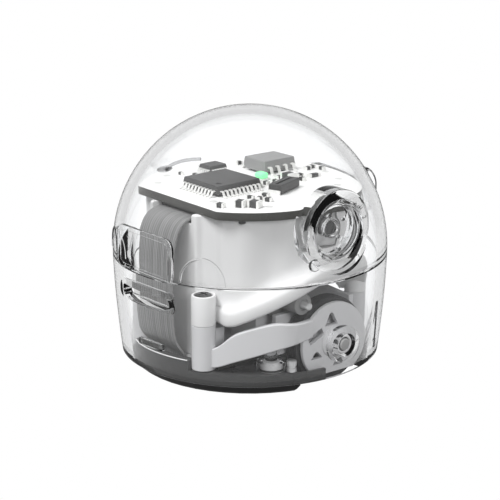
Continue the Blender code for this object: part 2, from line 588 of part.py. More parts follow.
# ---------------------------------------------------------------- base
def base_tray(mat):
    outline = []
    for i in range(96):
        azimuth = -180 + 360 * i / 96
        radius = TRAY_R if abs(azimuth) < 76 or abs(azimuth) > 150 else TRAY_SIDE_R
        point = polar(radius, azimuth, 0)
        outline.append((point.x, point.y))
    tray = plate("base_tray", outline, *TRAY_Z, mat)
    inside = rod("tray_inside", 11.4 * MM, (0, 0, 1.75 * MM), (0, 0, 5 * MM), segments=36)
    for side, s in SIDES:
        pad = box(side + "_guide_pad", (min(s * 7.2 * MM, s * 13 * MM), -8.4 * MM, 1 * MM),
                  (max(s * 7.2 * MM, s * 13 * MM), -3.0 * MM, LEDGE_Z))
        cut(inside, pad)
    cut(tray, inside)
    for side, s in SIDES:
        ledge = box(side + "_ledge", (min(s * 4.35 * MM, s * 13.5 * MM), -13.5 * MM, LEDGE_Z),
                    (max(s * 4.35 * MM, s * 13.5 * MM), -2.5 * MM, 5 * MM))
        room = rod(side + "_boss_room", BOSS_R + 0.08 * MM, (s * BOSS_X, -BOSS_Y, LEDGE_Z - 0.01 * MM),
                   (s * BOSS_X, -BOSS_Y, 5 * MM))
        cut(tray, ledge, room)
    for side, s in SIDES:
        well = box(side + "_tray_well", (min(s * WHEEL_WELL_X, s * 14 * MM), WHEEL_WELL_Y[0], 0),
                   (max(s * WHEEL_WELL_X, s * 14 * MM), WHEEL_WELL_Y[1], 5 * MM))
        cut(tray, well)
        join(tray, rim_guard(side, s))
    cut(tray, *sensor_windows("tray", 1.2 * MM, 0.9 * MM))


def rim_guard(side, s):
    """A thin curved wall that carries the tray's rim past the front half of the wheel."""
    azimuths = [70 + 17 * i / 8 for i in range(9)]
    points = [polar(12.33 * MM, a, 0) for a in azimuths]
    points += [polar(12.03 * MM, a, 0) for a in reversed(azimuths)]
    low, high = TRAY_Z[0] + 0.01 * MM, LEDGE_Z - 0.05 * MM
    return plate(side + "_rim_guard", [(s * p.x, p.y) for p in points], low, high)


def sensor_windows(owner, half_x, half_y):
    windows = []
    for number, azimuth in enumerate(LINE_SENSOR_ANGLES):
        x, y, _ = polar(LINE_SENSOR_RADIUS, azimuth, 0)
        windows.append(box(f"{owner}_window_{number}", (x - half_x, y - half_y, -1 * MM),
                           (x + half_x, y + half_y, 2.2 * MM), turn=azimuth))
    windows.append(rod(f"{owner}_colour_window", 1.3 * MM, (0, -4.2 * MM, -1 * MM), (0, -4.2 * MM, 2.2 * MM)))
    return windows


def foot_plate(mat):
    foot = turned("foot_plate", [
        (0, FOOT_TOP), (FOOT_R - 0.15 * MM, FOOT_TOP), (FOOT_R, FOOT_TOP - 0.2 * MM),
        (FOOT_R - 0.5 * MM, 0.3 * MM), (FOOT_R - 0.9 * MM, 0), (0, 0)], mat, steps=48, closed=False)
    for side, s in SIDES:
        cut(foot, box(side + "_foot_well", (min(s * 8.8 * MM, s * 14 * MM), -3.6 * MM, -1 * MM),
                      (max(s * 8.8 * MM, s * 14 * MM), 6.3 * MM, 3 * MM)))
    cut(foot, *sensor_windows("foot", 1.3 * MM, 1.0 * MM))


def sensors(board_mat, dark, clear):
    outline = []
    for i in range(60):
        x, y = 11.0 * MM * cos(i / 60 * 2 * pi), 11.0 * MM * sin(i / 60 * 2 * pi)
        outline.append((max(-8.4 * MM, min(8.4 * MM, x)), y))
    board = plate("sensor_board", outline, *SENSOR_BOARD_Z, board_mat)
    for side, s in SIDES:
        cut(board, box(side + "_guide_notch", (min(s * 5.5, s * 9) * MM, -9.2 * MM, 1.5 * MM),
                       (max(s * 5.5, s * 9) * MM, -2.9 * MM, 3 * MM)))
        cut(board, box(side + "_boss_notch", (min(s * 3.6, s * 9.2) * MM, -12 * MM, 1.45 * MM),
                       (max(s * 3.6, s * 9.2) * MM, -8.75 * MM, 3.1 * MM)))
    for number, azimuth in enumerate(LINE_SENSOR_ANGLES):
        x, y, _ = polar(LINE_SENSOR_RADIUS, azimuth, 0)
        box(f"line_sensor_{number + 1}", (x - 0.9 * MM, y - 0.6 * MM, 0.75 * MM),
            (x + 0.9 * MM, y + 0.6 * MM, SENSOR_BOARD_Z[0] - GAP), dark, bevel=0.08 * MM, turn=azimuth)
    rod("colour_sensor", 1.0 * MM, (0, -4.2 * MM, 0.7 * MM), (0, -4.2 * MM, SENSOR_BOARD_Z[0] - GAP),
        clear, segments=20, bevel=0.1 * MM)


def light_guides(mat):
    for side, s in SIDES:
        x, y = s * 9.35 * MM, -5.15 * MM
        turned(side + "_light_guide", [
            (0, 4.6 * MM), (0.6 * MM, 4.6 * MM), (0.6 * MM, 3.3 * MM), (1.35 * MM, 3.3 * MM),
            (1.45 * MM, 3.15 * MM), (1.45 * MM, LEDGE_Z + GAP), (0, LEDGE_Z + GAP)],
            mat, steps=20, closed=False, centre=(x, y, 0))
        rod(side + "_guide_pin", 0.5 * MM, (s * 11.05 * MM, -3.95 * MM, LEDGE_Z + GAP),
            (s * 11.05 * MM, -3.95 * MM, 3.5 * MM), mat, segments=16, bevel=0.1 * MM)


# ---------------------------------------------------------------- build
clear_scene()
clear_plastic = material("clear_plastic", (0.95, 0.96, 0.96), 0.05, transmission=1.0)
white_plastic = material("white_plastic", (0.8, 0.8, 0.8), 0.4)
grey_plastic = material("grey_plastic", (0.6, 0.6, 0.6), 0.4)
tray_plastic = material("tray_plastic", (0.06, 0.06, 0.06), 0.45)
black_plastic = material("black_plastic", (0.015, 0.015, 0.015), 0.4)
dark_plastic = material("dark_plastic", (0.05, 0.05, 0.05), 0.5)
board_white = material("board_white", (0.85, 0.85, 0.84), 0.45)
chip_grey = material("chip_grey", (0.18, 0.18, 0.18), 0.45)
chip_silver = material("chip_silver", (0.45, 0.45, 0.45), 0.4)
led_green = material("led_green", (0.2, 0.8, 0.3), 0.3)
flex_grey = material("flex_grey", (0.3, 0.3, 0.3), 0.5)
steel = material("steel", (0.55, 0.55, 0.55), 0.3, metallic=1.0)
motor_metal = material("motor_metal", (0.35, 0.35, 0.35), 0.35, metallic=1.0)
battery_wrap = material("battery_wrap", (0.5, 0.5, 0.5), 0.35)
tyre_rubber = material("tyre_rubber", (0.02, 0.02, 0.02), 0.7)

clear_dome(clear_plastic)
clear_skirt(clear_plastic)
power_button(clear_plastic)
power_switch(dark_plastic, dark_plastic)
main_board(board_white)
chips(chip_grey, chip_silver, led_green)
flex_cable(flex_grey)
usb_socket(steel)
battery(battery_wrap)
motors(motor_metal, steel)
upper_chassis(white_plastic)
lower_chassis(grey_plastic)
screws(steel)
wheels(tyre_rubber, grey_plastic, steel)
base_tray(tray_plastic)
foot_plate(black_plastic)
sensors(board_white, dark_plastic, clear_plastic)
light_guides(clear_plastic)
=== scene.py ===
# %% [markdown]
# # Educational coding robot: the looks
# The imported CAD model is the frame. Every piece below is built in metres in that frame, rides on one
# of its bodies, and stands for the CAD node that it replaces.

# %% Frame
from math import atan2, cos, pi, radians, sin, sqrt

import bmesh
import bpy
from mathutils import Matrix, Vector


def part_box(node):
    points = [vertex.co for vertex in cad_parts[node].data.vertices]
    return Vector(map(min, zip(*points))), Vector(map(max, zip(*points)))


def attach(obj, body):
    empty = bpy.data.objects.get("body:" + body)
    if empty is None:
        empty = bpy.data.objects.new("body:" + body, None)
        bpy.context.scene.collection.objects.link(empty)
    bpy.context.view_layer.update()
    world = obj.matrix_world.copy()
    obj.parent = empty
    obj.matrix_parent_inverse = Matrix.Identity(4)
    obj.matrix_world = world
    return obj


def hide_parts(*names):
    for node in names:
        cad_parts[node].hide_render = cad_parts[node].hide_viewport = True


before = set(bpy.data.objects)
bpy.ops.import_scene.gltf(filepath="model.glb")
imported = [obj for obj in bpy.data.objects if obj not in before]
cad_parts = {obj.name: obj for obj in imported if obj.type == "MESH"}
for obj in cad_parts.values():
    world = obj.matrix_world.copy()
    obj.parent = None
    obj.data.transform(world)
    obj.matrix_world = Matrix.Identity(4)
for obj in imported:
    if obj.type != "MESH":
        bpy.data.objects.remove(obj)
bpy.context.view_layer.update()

MM = 0.001
dome_low, dome_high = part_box("clear_dome")
skirt_low, skirt_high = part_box("clear_skirt")
board_low, board_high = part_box("main_board")
tyre_low, tyre_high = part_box("left_tyre")
foot_low, foot_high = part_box("foot_plate")
tray_low, tray_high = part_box("base_tray")
can_low, can_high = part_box("left_motor_can")
shaft_low, shaft_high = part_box("left_motor_shaft")
guide_low, guide_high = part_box("left_light_guide")
pin_low, pin_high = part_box("left_guide_pin")
button_low, button_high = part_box("power_button")
chip_low, chip_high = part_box("microcontroller")
driver_low, driver_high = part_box("driver_chip")
memory_low, memory_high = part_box("memory_chip")
led_low, led_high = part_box("status_led")

SHELL_R = (dome_high[1] - dome_low[1]) / 2 - 0.004 * MM
SHELL_TOP = dome_high[2]
WIDEST_Z = 12.1 * MM
WALL = 1.0 * MM
SEAM_Z = dome_low[2] - 0.06 * MM
SKIRT_BOTTOM_Z = skirt_low[2]
SKIRT_BOTTOM_R = 13.45 * MM
BUTTON_Z = (button_low[2] + button_high[2]) / 2
BUTTON_R = (button_high[2] - button_low[2]) / 2
COLLAR_R = 4.15 * MM
COLLAR_FACE_X = 13.7 * MM
SOCKET_Z = 16.4 * MM
WINDOW_Z = 13.85 * MM
SLOT_Z = 9.3 * MM
BOARD_TOP = board_high[2]
BOARD_UNDER = board_low[2]
BOARD_R = 11.4 * MM
AXLE_Y = (tyre_low[1] + tyre_high[1]) / 2
AXLE_Z = (tyre_low[2] + tyre_high[2]) / 2
TYRE_R = (tyre_high[2] - tyre_low[2]) / 2
MOTOR_Y = (can_low[1] + can_high[1]) / 2
MOTOR_Z = (can_low[2] + can_high[2]) / 2
BOSS_X = 4.9 * MM
BOSS_Y = 10.05 * MM
BOSS_R = 1.2 * MM
BOSS_JOINT_Z = 7.0 * MM
BOSS_TOP = 10.1 * MM
PLATE_X = (11.15 * MM, 11.6 * MM)
PLATE_R = 4.1 * MM
LEDGE_Z = 2.25 * MM
SIDES = (("left", 1), ("right", -1))
BOSSES = [(f"{side}_{end}", s * BOSS_X * (1 if e < 0 else 1.35), e * BOSS_Y * (1 if e < 0 else 0.9))
          for side, s in SIDES for end, e in (("front", -1), ("rear", 1))]


# %% [markdown]
# ## Camera and light
# A long lens from the front left of the robot, a little above it. The world is white where the
# camera looks through the clear shell, and grey to the sides, so that the shell's rim shows.

# %% Camera
VIEW_AZIMUTH = 50
VIEW_ELEVATION = 17
VIEW_DISTANCE = 219 * MM
VIEW_TARGET = Vector((0, 0, 11.5 * MM))

azimuth, elevation = radians(VIEW_AZIMUTH), radians(VIEW_ELEVATION)
view_back = Vector((sin(azimuth) * cos(elevation), -cos(azimuth) * cos(elevation), sin(elevation)))
camera_data = bpy.data.cameras.new("camera")
camera_data.lens = 151
camera_data.clip_start = 0.01
camera = bpy.data.objects.new("camera", camera_data)
camera.location = VIEW_TARGET + view_back * VIEW_DISTANCE
camera.rotation_euler = view_back.to_track_quat("Z", "Y").to_euler()
bpy.context.scene.collection.objects.link(camera)
bpy.context.scene.camera = camera
bpy.context.scene.view_settings.view_transform = "Standard"


# %% World and lights
def ramp_of(tree, value, stops):
    """A grey colour ramp on a value, through (position, brightness) stops."""
    ramp = tree.nodes.new("ShaderNodeValToRGB")
    elements = ramp.color_ramp.elements
    while len(elements) < len(stops):
        elements.new(0.5)
    for element, (position, grey) in zip(elements, stops):
        element.position = position
        element.color = (grey, grey, grey, 1)
    tree.links.new(value, ramp.inputs["Fac"])
    return ramp.outputs["Color"]


def either(tree, choice, if_not, if_so):
    """One colour or another, by a 0 or 1 value."""
    mix = tree.nodes.new("ShaderNodeMix")
    mix.data_type = "RGBA"
    tree.links.new(choice, mix.inputs["Factor"])
    tree.links.new(if_not, mix.inputs["A"])
    tree.links.new(if_so, mix.inputs["B"])
    return mix.outputs["Result"]


def direction_match(tree, incoming, direction):
    """1 for rays that leave along direction, 0 for the opposite way."""
    dot = tree.nodes.new("ShaderNodeVectorMath")
    dot.operation = "DOT_PRODUCT"
    dot.inputs[1].default_value = -Vector(direction).normalized()
    half = tree.nodes.new("ShaderNodeMath")
    half.operation = "MULTIPLY_ADD"
    half.inputs[1].default_value = 0.5
    half.inputs[2].default_value = 0.5
    tree.links.new(incoming, dot.inputs[0])
    tree.links.new(dot.outputs["Value"], half.inputs[0])
    return half.outputs[0]


def level_band(tree, incoming, rise):
    """Bright for rays that leave at about this rise or fall, whichever way they head."""
    split = tree.nodes.new("ShaderNodeSeparateXYZ")
    away = tree.nodes.new("ShaderNodeMath")
    away.operation = "ADD"
    away.inputs[1].default_value = rise
    size = tree.nodes.new("ShaderNodeMath")
    size.operation = "ABSOLUTE"
    tree.links.new(incoming, split.inputs["Vector"])
    tree.links.new(split.outputs["Z"], away.inputs[0])
    tree.links.new(away.outputs[0], size.inputs[0])
    return ramp_of(tree, size.outputs[0], LEVEL_STOPS)


def build_world():
    world = bpy.data.worlds.new("studio")
    bpy.context.scene.world = world
    world.use_nodes = True
    tree = world.node_tree
    background = tree.nodes["Background"]
    incoming = tree.nodes.new("ShaderNodeNewGeometry").outputs["Incoming"]
    path = tree.nodes.new("ShaderNodeLightPath")
    ahead = direction_match(tree, incoming, -view_back)
    up = direction_match(tree, incoming, (-0.15, -0.1, 1))
    softbox = direction_match(tree, incoming, (-0.3, -0.7, 0.9))
    brightest = tree.nodes.new("ShaderNodeMix")
    brightest.data_type = "RGBA"
    brightest.blend_type = "LIGHTEN"
    brightest.inputs["Factor"].default_value = 1.0
    tree.links.new(ramp_of(tree, ahead, THROUGH_STOPS), brightest.inputs["A"])
    tree.links.new(level_band(tree, incoming, -view_back.z), brightest.inputs["B"])
    through = brightest.outputs["Result"]
    ambient = ramp_of(tree, up, AMBIENT_STOPS)
    mirrored = ramp_of(tree, softbox, MIRROR_STOPS)
    white = ramp_of(tree, ahead, ((0.0, 1.0), (1.0, 1.0)))
    colour = either(tree, path.outputs["Is Diffuse Ray"], mirrored, ambient)
    colour = either(tree, path.outputs["Is Transmission Ray"], colour, through)
    colour = either(tree, path.outputs["Is Camera Ray"], colour, white)
    tree.links.new(colour, background.inputs["Color"])
    background.inputs["Strength"].default_value = 1.0


def area_light(name, direction, distance, size, power):
    light = bpy.data.lights.new(name, "AREA")
    light.size = size
    light.energy = power
    obj = bpy.data.objects.new(name, light)
    toward = Vector(direction).normalized()
    obj.location = VIEW_TARGET + toward * distance
    obj.rotation_euler = toward.to_track_quat("Z", "Y").to_euler()
    obj.visible_glossy = False
    obj.visible_transmission = False
    bpy.context.scene.collection.objects.link(obj)


THROUGH_STOPS = ((0.0, 0.16), (0.5, 0.42), (0.75, 0.66), (0.93, 0.86), (0.992, 1.25))
LEVEL_STOPS = ((0.0, 0.97), (0.1, 0.93), (0.25, 0.6), (0.5, 0.2))
AMBIENT_STOPS = ((0.0, 0.12), (0.45, 0.34), (0.75, 0.62), (1.0, 0.8))
MIRROR_STOPS = ((0.0, 0.14), (0.6, 0.22), (0.9, 0.4), (0.97, 1.0))
build_world()
area_light("key", (-0.1, -0.8, 1.2), 0.30, 0.12, 1.0)
area_light("side", (1.0, -0.25, 0.45), 0.32, 0.12, 0.42)


# %% [markdown]
# ## Materials
# A shared node group adds moulding grain: slight colour and roughness variation and a fine bump, all
# from object coordinates.

# %% Material groups
def grain_group():
    group = bpy.data.node_groups.new("moulded_grain", "ShaderNodeTree")
    face = group.interface
    face.new_socket("Color", in_out="INPUT", socket_type="NodeSocketColor")
    for name, value in (("Roughness", 0.4), ("Scale", 900.0), ("Spread", 0.04), ("Bump", 0.02)):
        face.new_socket(name, in_out="INPUT", socket_type="NodeSocketFloat").default_value = value
    face.new_socket("Color", in_out="OUTPUT", socket_type="NodeSocketColor")
    face.new_socket("Roughness", in_out="OUTPUT", socket_type="NodeSocketFloat")
    face.new_socket("Normal", in_out="OUTPUT", socket_type="NodeSocketVector")
    nodes, links = group.nodes, group.links
    entry = nodes.new("NodeGroupInput")
    leave = nodes.new("NodeGroupOutput")
    coords = nodes.new("ShaderNodeTexCoord")
    fine = nodes.new("ShaderNodeTexNoise")
    fine.inputs["Detail"].default_value = 4
    broad = nodes.new("ShaderNodeTexNoise")
    broad.inputs["Detail"].default_value = 2
    tenth = nodes.new("ShaderNodeMath")
    tenth.operation = "MULTIPLY"
    tenth.inputs[1].default_value = 0.2
    links.new(entry.outputs["Scale"], fine.inputs["Scale"])
    links.new(entry.outputs["Scale"], tenth.inputs[0])
    links.new(tenth.outputs[0], broad.inputs["Scale"])
    for noise in (fine, broad):
        links.new(coords.outputs["Object"], noise.inputs["Vector"])
    swing = nodes.new("ShaderNodeMath")
    swing.operation = "SUBTRACT"
    swing.inputs[1].default_value = 0.5
    links.new(broad.outputs["Fac"], swing.inputs[0])
    amount = nodes.new("ShaderNodeMath")
    amount.operation = "MULTIPLY_ADD"
    amount.inputs[2].default_value = 1.0
    links.new(swing.outputs[0], amount.inputs[0])
    links.new(entry.outputs["Spread"], amount.inputs[1])
    tint = nodes.new("ShaderNodeVectorMath")
    tint.operation = "SCALE"
    links.new(entry.outputs["Color"], tint.inputs[0])
    links.new(amount.outputs[0], tint.inputs["Scale"])
    links.new(tint.outputs[0], leave.inputs["Color"])
    rough = nodes.new("ShaderNodeMath")
    rough.operation = "MULTIPLY_ADD"
    rough.inputs[1].default_value = 0.15
    links.new(swing.outputs[0], rough.inputs[0])
    links.new(entry.outputs["Roughness"], rough.inputs[2])
    links.new(rough.outputs[0], leave.inputs["Roughness"])
    bump = nodes.new("ShaderNodeBump")
    bump.inputs["Distance"].default_value = 0.00005
    links.new(entry.outputs["Bump"], bump.inputs["Strength"])
    links.new(fine.outputs["Fac"], bump.inputs["Height"])
    links.new(bump.outputs["Normal"], leave.inputs["Normal"])
    return group


GRAIN = grain_group()


def grained(name, colour, roughness=0.4, metallic=0.0, scale=900.0, spread=0.06, bump=0.05):
    """A Principled material whose colour, roughness and normal come through the grain group."""
    mat = bpy.data.materials.new(name)
    mat.use_nodes = True
    nodes, links = mat.node_tree.nodes, mat.node_tree.links
    shader = nodes["Principled BSDF"]
    grain = nodes.new("ShaderNodeGroup")
    grain.node_tree = GRAIN
    grain.name = "Grain"
    grain.inputs["Color"].default_value = (*colour, 1)
    for socket, value in (("Roughness", roughness), ("Scale", scale), ("Spread", spread), ("Bump", bump)):
        grain.inputs[socket].default_value = value
    links.new(grain.outputs["Color"], shader.inputs["Base Color"])
    links.new(grain.outputs["Roughness"], shader.inputs["Roughness"])
    links.new(grain.outputs["Normal"], shader.inputs["Normal"])
    shader.inputs["Metallic"].default_value = metallic
    return mat


def clear_material(name, tint, roughness=0.02, ripple=0.05):
    """Polished clear plastic that lets shadow and diffuse rays straight through."""
    mat = bpy.data.materials.new(name)
    mat.use_nodes = True
    nodes, links = mat.node_tree.nodes, mat.node_tree.links
    shader = nodes["Principled BSDF"]
    shader.inputs["Base Color"].default_value = (*tint, 1)
    shader.inputs["Roughness"].default_value = roughness
    shader.inputs["IOR"].default_value = 1.49
    shader.inputs["Transmission Weight"].default_value = 1.0
    coords = nodes.new("ShaderNodeTexCoord")
    waves = nodes.new("ShaderNodeTexNoise")
    waves.inputs["Scale"].default_value = 160.0
    waves.inputs["Detail"].default_value = 1.0
    bump = nodes.new("ShaderNodeBump")
    bump.inputs["Strength"].default_value = ripple
    bump.inputs["Distance"].default_value = 0.0002
    links.new(coords.outputs["Object"], waves.inputs["Vector"])
    links.new(waves.outputs["Fac"], bump.inputs["Height"])
    links.new(bump.outputs["Normal"], shader.inputs["Normal"])
    path = nodes.new("ShaderNodeLightPath")
    either = nodes.new("ShaderNodeMath")
    either.operation = "MAXIMUM"
    links.new(path.outputs["Is Shadow Ray"], either.inputs[0])
    links.new(path.outputs["Is Diffuse Ray"], either.inputs[1])
    through = nodes.new("ShaderNodeBsdfTransparent")
    through.inputs["Color"].default_value = (0.95, 0.95, 0.95, 1)
    mix = nodes.new("ShaderNodeMixShader")
    links.new(either.outputs[0], mix.inputs["Fac"])
    links.new(shader.outputs["BSDF"], mix.inputs[1])
    links.new(through.outputs["BSDF"], mix.inputs[2])
    links.new(mix.outputs["Shader"], nodes["Material Output"].inputs["Surface"])
    return mat


def board_material():
    """White solder mask on the faces, dark grey laminate on the edge."""
    mat = grained("board", (0.86, 0.86, 0.85), 0.38, scale=2500, spread=0.03, bump=0.04)
    nodes, links = mat.node_tree.nodes, mat.node_tree.links
    geometry = nodes.new("ShaderNodeNewGeometry")
    split = nodes.new("ShaderNodeSeparateXYZ")
    upright = nodes.new("ShaderNodeMath")
    upright.operation = "ABSOLUTE"
    edge = nodes.new("ShaderNodeMath")
    edge.operation = "LESS_THAN"
    edge.inputs[1].default_value = 0.5
    mix = nodes.new("ShaderNodeMix")
    mix.data_type = "RGBA"
    mix.inputs["B"].default_value = (0.055, 0.055, 0.05, 1)
    links.new(geometry.outputs["True Normal"], split.inputs["Vector"])
    links.new(split.outputs["Z"], upright.inputs[0])
    links.new(upright.outputs[0], edge.inputs[0])
    links.new(edge.outputs[0], mix.inputs["Factor"])
    links.new(nodes["Grain"].outputs["Color"], mix.inputs["A"])
    links.new(mix.outputs["Result"], nodes["Principled BSDF"].inputs["Base Color"])
    return mat


def flex_material():
    """Grey film with fine copper traces that run its length, seen as darker and lighter lines."""
    mat = grained("flex", (0.25, 0.25, 0.25), 0.42, scale=700, spread=0.08, bump=0.03)
    nodes, links = mat.node_tree.nodes, mat.node_tree.links
    coords = nodes.new("ShaderNodeTexCoord")
    split = nodes.new("ShaderNodeSeparateXYZ")
    count = nodes.new("ShaderNodeMath")
    count.operation = "MULTIPLY"
    count.inputs[1].default_value = 2 * pi / (0.3 * MM)
    wave = nodes.new("ShaderNodeMath")
    wave.operation = "SINE"
    level = nodes.new("ShaderNodeMapRange")
    level.inputs["From Min"].default_value = -1
    level.inputs["From Max"].default_value = 1
    level.inputs["To Min"].default_value = 0.55
    level.inputs["To Max"].default_value = 1.15
    streak = nodes.new("ShaderNodeTexNoise")
    streak.noise_dimensions = "1D"
    streak.inputs["Scale"].default_value = 2600.0
    streak.inputs["Detail"].default_value = 3.0
    uneven = nodes.new("ShaderNodeMath")
    uneven.operation = "MULTIPLY_ADD"
    uneven.inputs[1].default_value = 5.0
    uneven.inputs[2].default_value = -2.5
    both = nodes.new("ShaderNodeMath")
    both.operation = "ADD"
    tint = nodes.new("ShaderNodeVectorMath")
    tint.operation = "SCALE"
    links.new(coords.outputs["Object"], split.inputs["Vector"])
    links.new(split.outputs["X"], streak.inputs["W"])
    links.new(streak.outputs["Fac"], uneven.inputs[0])
    links.new(split.outputs["X"], count.inputs[0])
    links.new(count.outputs[0], wave.inputs[0])
    links.new(wave.outputs[0], both.inputs[0])
    links.new(uneven.outputs[0], both.inputs[1])
    links.new(both.outputs[0], level.inputs["Value"])
    links.new(nodes["Grain"].outputs["Color"], tint.inputs[0])
    links.new(level.outputs["Result"], tint.inputs["Scale"])
    links.new(tint.outputs[0], nodes["Principled BSDF"].inputs["Base Color"])
    return mat


def led_material():
    mat = grained("led_green", (0.25, 0.85, 0.38), 0.3, scale=1500, spread=0.1)
    shader = mat.node_tree.nodes["Principled BSDF"]
    shader.inputs["Emission Color"].default_value = (0.2, 0.95, 0.35, 1)
    shader.inputs["Emission Strength"].default_value = 0.55
    return mat


def tyre_material():
    """Soft rubber with a fine grain bump."""
    mat = grained("tyre", (0.03, 0.03, 0.031), 0.62, scale=1800, spread=0.3, bump=0.25)
    return mat


CLEAR = clear_material("clear_plastic", (0.97, 0.975, 0.98))
# Clear plastic tinted grey: painted dark refraction outlines on the thin clear bars and the board clip.
CLEAR_PAINTED_DARK = clear_material("clear_painted_dark_refraction", (0.62, 0.62, 0.63), 0.04)
WHITE = grained("white_plastic", (0.72, 0.72, 0.72), 0.36, scale=500, spread=0.05, bump=0.05)
GREY = grained("grey_plastic", (0.62, 0.62, 0.63), 0.38, scale=500, spread=0.06, bump=0.05)
TRAY = grained("tray_plastic", (0.055, 0.055, 0.055), 0.42, scale=900, spread=0.2, bump=0.1)
FOOT = grained("foot_plastic", (0.012, 0.012, 0.012), 0.36, scale=900, spread=0.3, bump=0.1)
BOARD = board_material()
CHIP = grained("chip_epoxy", (0.065, 0.065, 0.065), 0.5, scale=2500, spread=0.2, bump=0.25)
SILVER_CHIP = grained("silver_epoxy", (0.27, 0.27, 0.27), 0.42, scale=2500, spread=0.15, bump=0.2)
SOLDER = grained("solder", (0.84, 0.84, 0.82), 0.3, metallic=0.25, scale=2500, spread=0.15, bump=0.15)
STEEL = grained("steel", (0.60, 0.60, 0.60), 0.28, metallic=0.55, scale=1200, spread=0.1, bump=0.08)
DARK_STEEL = grained("dark_steel", (0.16, 0.16, 0.16), 0.35, metallic=0.9, scale=1200, spread=0.2, bump=0.1)
CAN = grained("motor_can", (0.30, 0.30, 0.30), 0.34, metallic=0.5, scale=700, spread=0.15, bump=0.06)
SLEEVE = grained("roller_sleeve", (0.24, 0.24, 0.24), 0.5, scale=900, spread=0.1, bump=0.1)
PAD = grained("test_pad", (0.62, 0.62, 0.61), 0.35, scale=2000, spread=0.05)
PIN = grained("pin", (0.62, 0.62, 0.62), 0.3, metallic=0.6, scale=900, spread=0.1, bump=0.06)
FLEX = flex_material()
LED = led_material()
RUBBER = tyre_material()
POUCH = grained("battery_pouch", (0.48, 0.48, 0.49), 0.33, metallic=0.4, scale=350, spread=0.12, bump=0.25)
# Light grey material for the tray's edge line: a painted highlight on the dark tray's top edge.
PAINTED_EDGE_HIGHLIGHT = grained("painted_tray_edge_highlight", (0.75, 0.75, 0.75), 0.3, scale=800, spread=0.05)


# %% [markdown]
# ## Shape helpers

# %% Helpers
def add(name, bm, mat, angle=35):
    """A mesh object from a bmesh, smooth except at sharp edges."""
    bmesh.ops.recalc_face_normals(bm, faces=bm.faces)
    mesh = bpy.data.meshes.new(name)
    bm.to_mesh(mesh)
    bm.free()
    mesh.materials.append(mat)
    mesh.shade_smooth()
    mesh.set_sharp_from_angle(angle=radians(angle))
    obj = bpy.data.objects.new(name, mesh)
    bpy.context.scene.collection.objects.link(obj)
    return obj


def bake(obj, angle=35):
    """Applies the object's modifiers to its mesh."""
    evaluated = obj.evaluated_get(bpy.context.evaluated_depsgraph_get())
    mesh = bpy.data.meshes.new_from_object(evaluated)
    obj.modifiers.clear()
    obj.data = mesh
    mesh.shade_smooth()
    mesh.set_sharp_from_angle(angle=radians(angle))
    return obj


def combine(obj, others, operation, angle=35):
    """Boolean of obj with each of the others, which are used up."""
    for other in others:
        mod = obj.modifiers.new("Boolean", "BOOLEAN")
        mod.operation = operation
        mod.object = other
        mod.solver = "EXACT"
    bake(obj, angle)
    for other in others:
        bpy.data.objects.remove(other, do_unlink=True)
    return obj


def soften(obj, width, segments=3, angle=35):
    mod = obj.modifiers.new("Bevel", "BEVEL")
    mod.width = width
    mod.segments = segments
    mod.limit_method = "ANGLE"
    mod.angle_limit = radians(40)
    return bake(obj, angle)


def merge(name, objs):
    """Several objects as one, each keeping its material."""
    keep = objs[0]
    with bpy.context.temp_override(active_object=keep, selected_editable_objects=objs):
        bpy.ops.object.join()
    keep.name = name
    return keep


def turned_bm(profile, steps=96, closed=True):
    """Spin a (radius, height) profile about Z."""
    bm = bmesh.new()
    verts = [bm.verts.new((r, 0, h)) for r, h in profile]
    edges = [bm.edges.new(pair) for pair in zip(verts, verts[1:])]
    if closed:
        edges.append(bm.edges.new((verts[-1], verts[0])))
    bmesh.ops.spin(bm, geom=verts + edges, angle=2 * pi, steps=steps, axis=(0, 0, 1), cent=(0, 0, 0))
    bmesh.ops.remove_doubles(bm, verts=bm.verts, dist=1e-7)
    return bm


def turned(name, profile, mat, steps=96, closed=True, centre=(0, 0, 0), along="Z", angle=35):
    bm = turned_bm(profile, steps, closed)
    turn = {"Z": Matrix.Identity(3), "X": Matrix.Rotation(pi / 2, 3, "Y"), "-X": Matrix.Rotation(-pi / 2, 3, "Y"),
            "Y": Matrix.Rotation(-pi / 2, 3, "X")}[along]
    bmesh.ops.rotate(bm, matrix=turn, verts=bm.verts)
    bmesh.ops.translate(bm, vec=centre, verts=bm.verts)
    return add(name, bm, mat, angle)


def rod(name, radius, start, end, mat, segments=48, bevel=0.0):
    start, end = Vector(start), Vector(end)
    bm = bmesh.new()
    bmesh.ops.create_cone(bm, cap_ends=True, segments=segments, radius1=radius, radius2=radius,
                          depth=(end - start).length)
    if bevel:
        rims = [e for e in bm.edges if abs(e.verts[0].co.z - e.verts[1].co.z) < 1e-7]
        bmesh.ops.bevel(bm, geom=rims, offset=bevel, segments=3, affect="EDGES", profile=0.5)
    bmesh.ops.rotate(bm, matrix=(end - start).to_track_quat("Z", "Y").to_matrix(), verts=bm.verts)
    bmesh.ops.translate(bm, vec=(start + end) / 2, verts=bm.verts)
    return add(name, bm, mat)


def block(name, low, high, mat, bevel=0.0, segments=3, turn=0.0):
    low, high = Vector(low), Vector(high)
    bm = bmesh.new()
    bmesh.ops.create_cube(bm, size=1.0)
    bmesh.ops.scale(bm, vec=high - low, verts=bm.verts)
    if bevel:
        bmesh.ops.bevel(bm, geom=bm.edges[:], offset=bevel, segments=segments, affect="EDGES", profile=0.5)
    bmesh.ops.rotate(bm, matrix=Matrix.Rotation(radians(turn), 3, "Z"), verts=bm.verts)
    bmesh.ops.translate(bm, vec=(low + high) / 2, verts=bm.verts)
    return add(name, bm, mat)


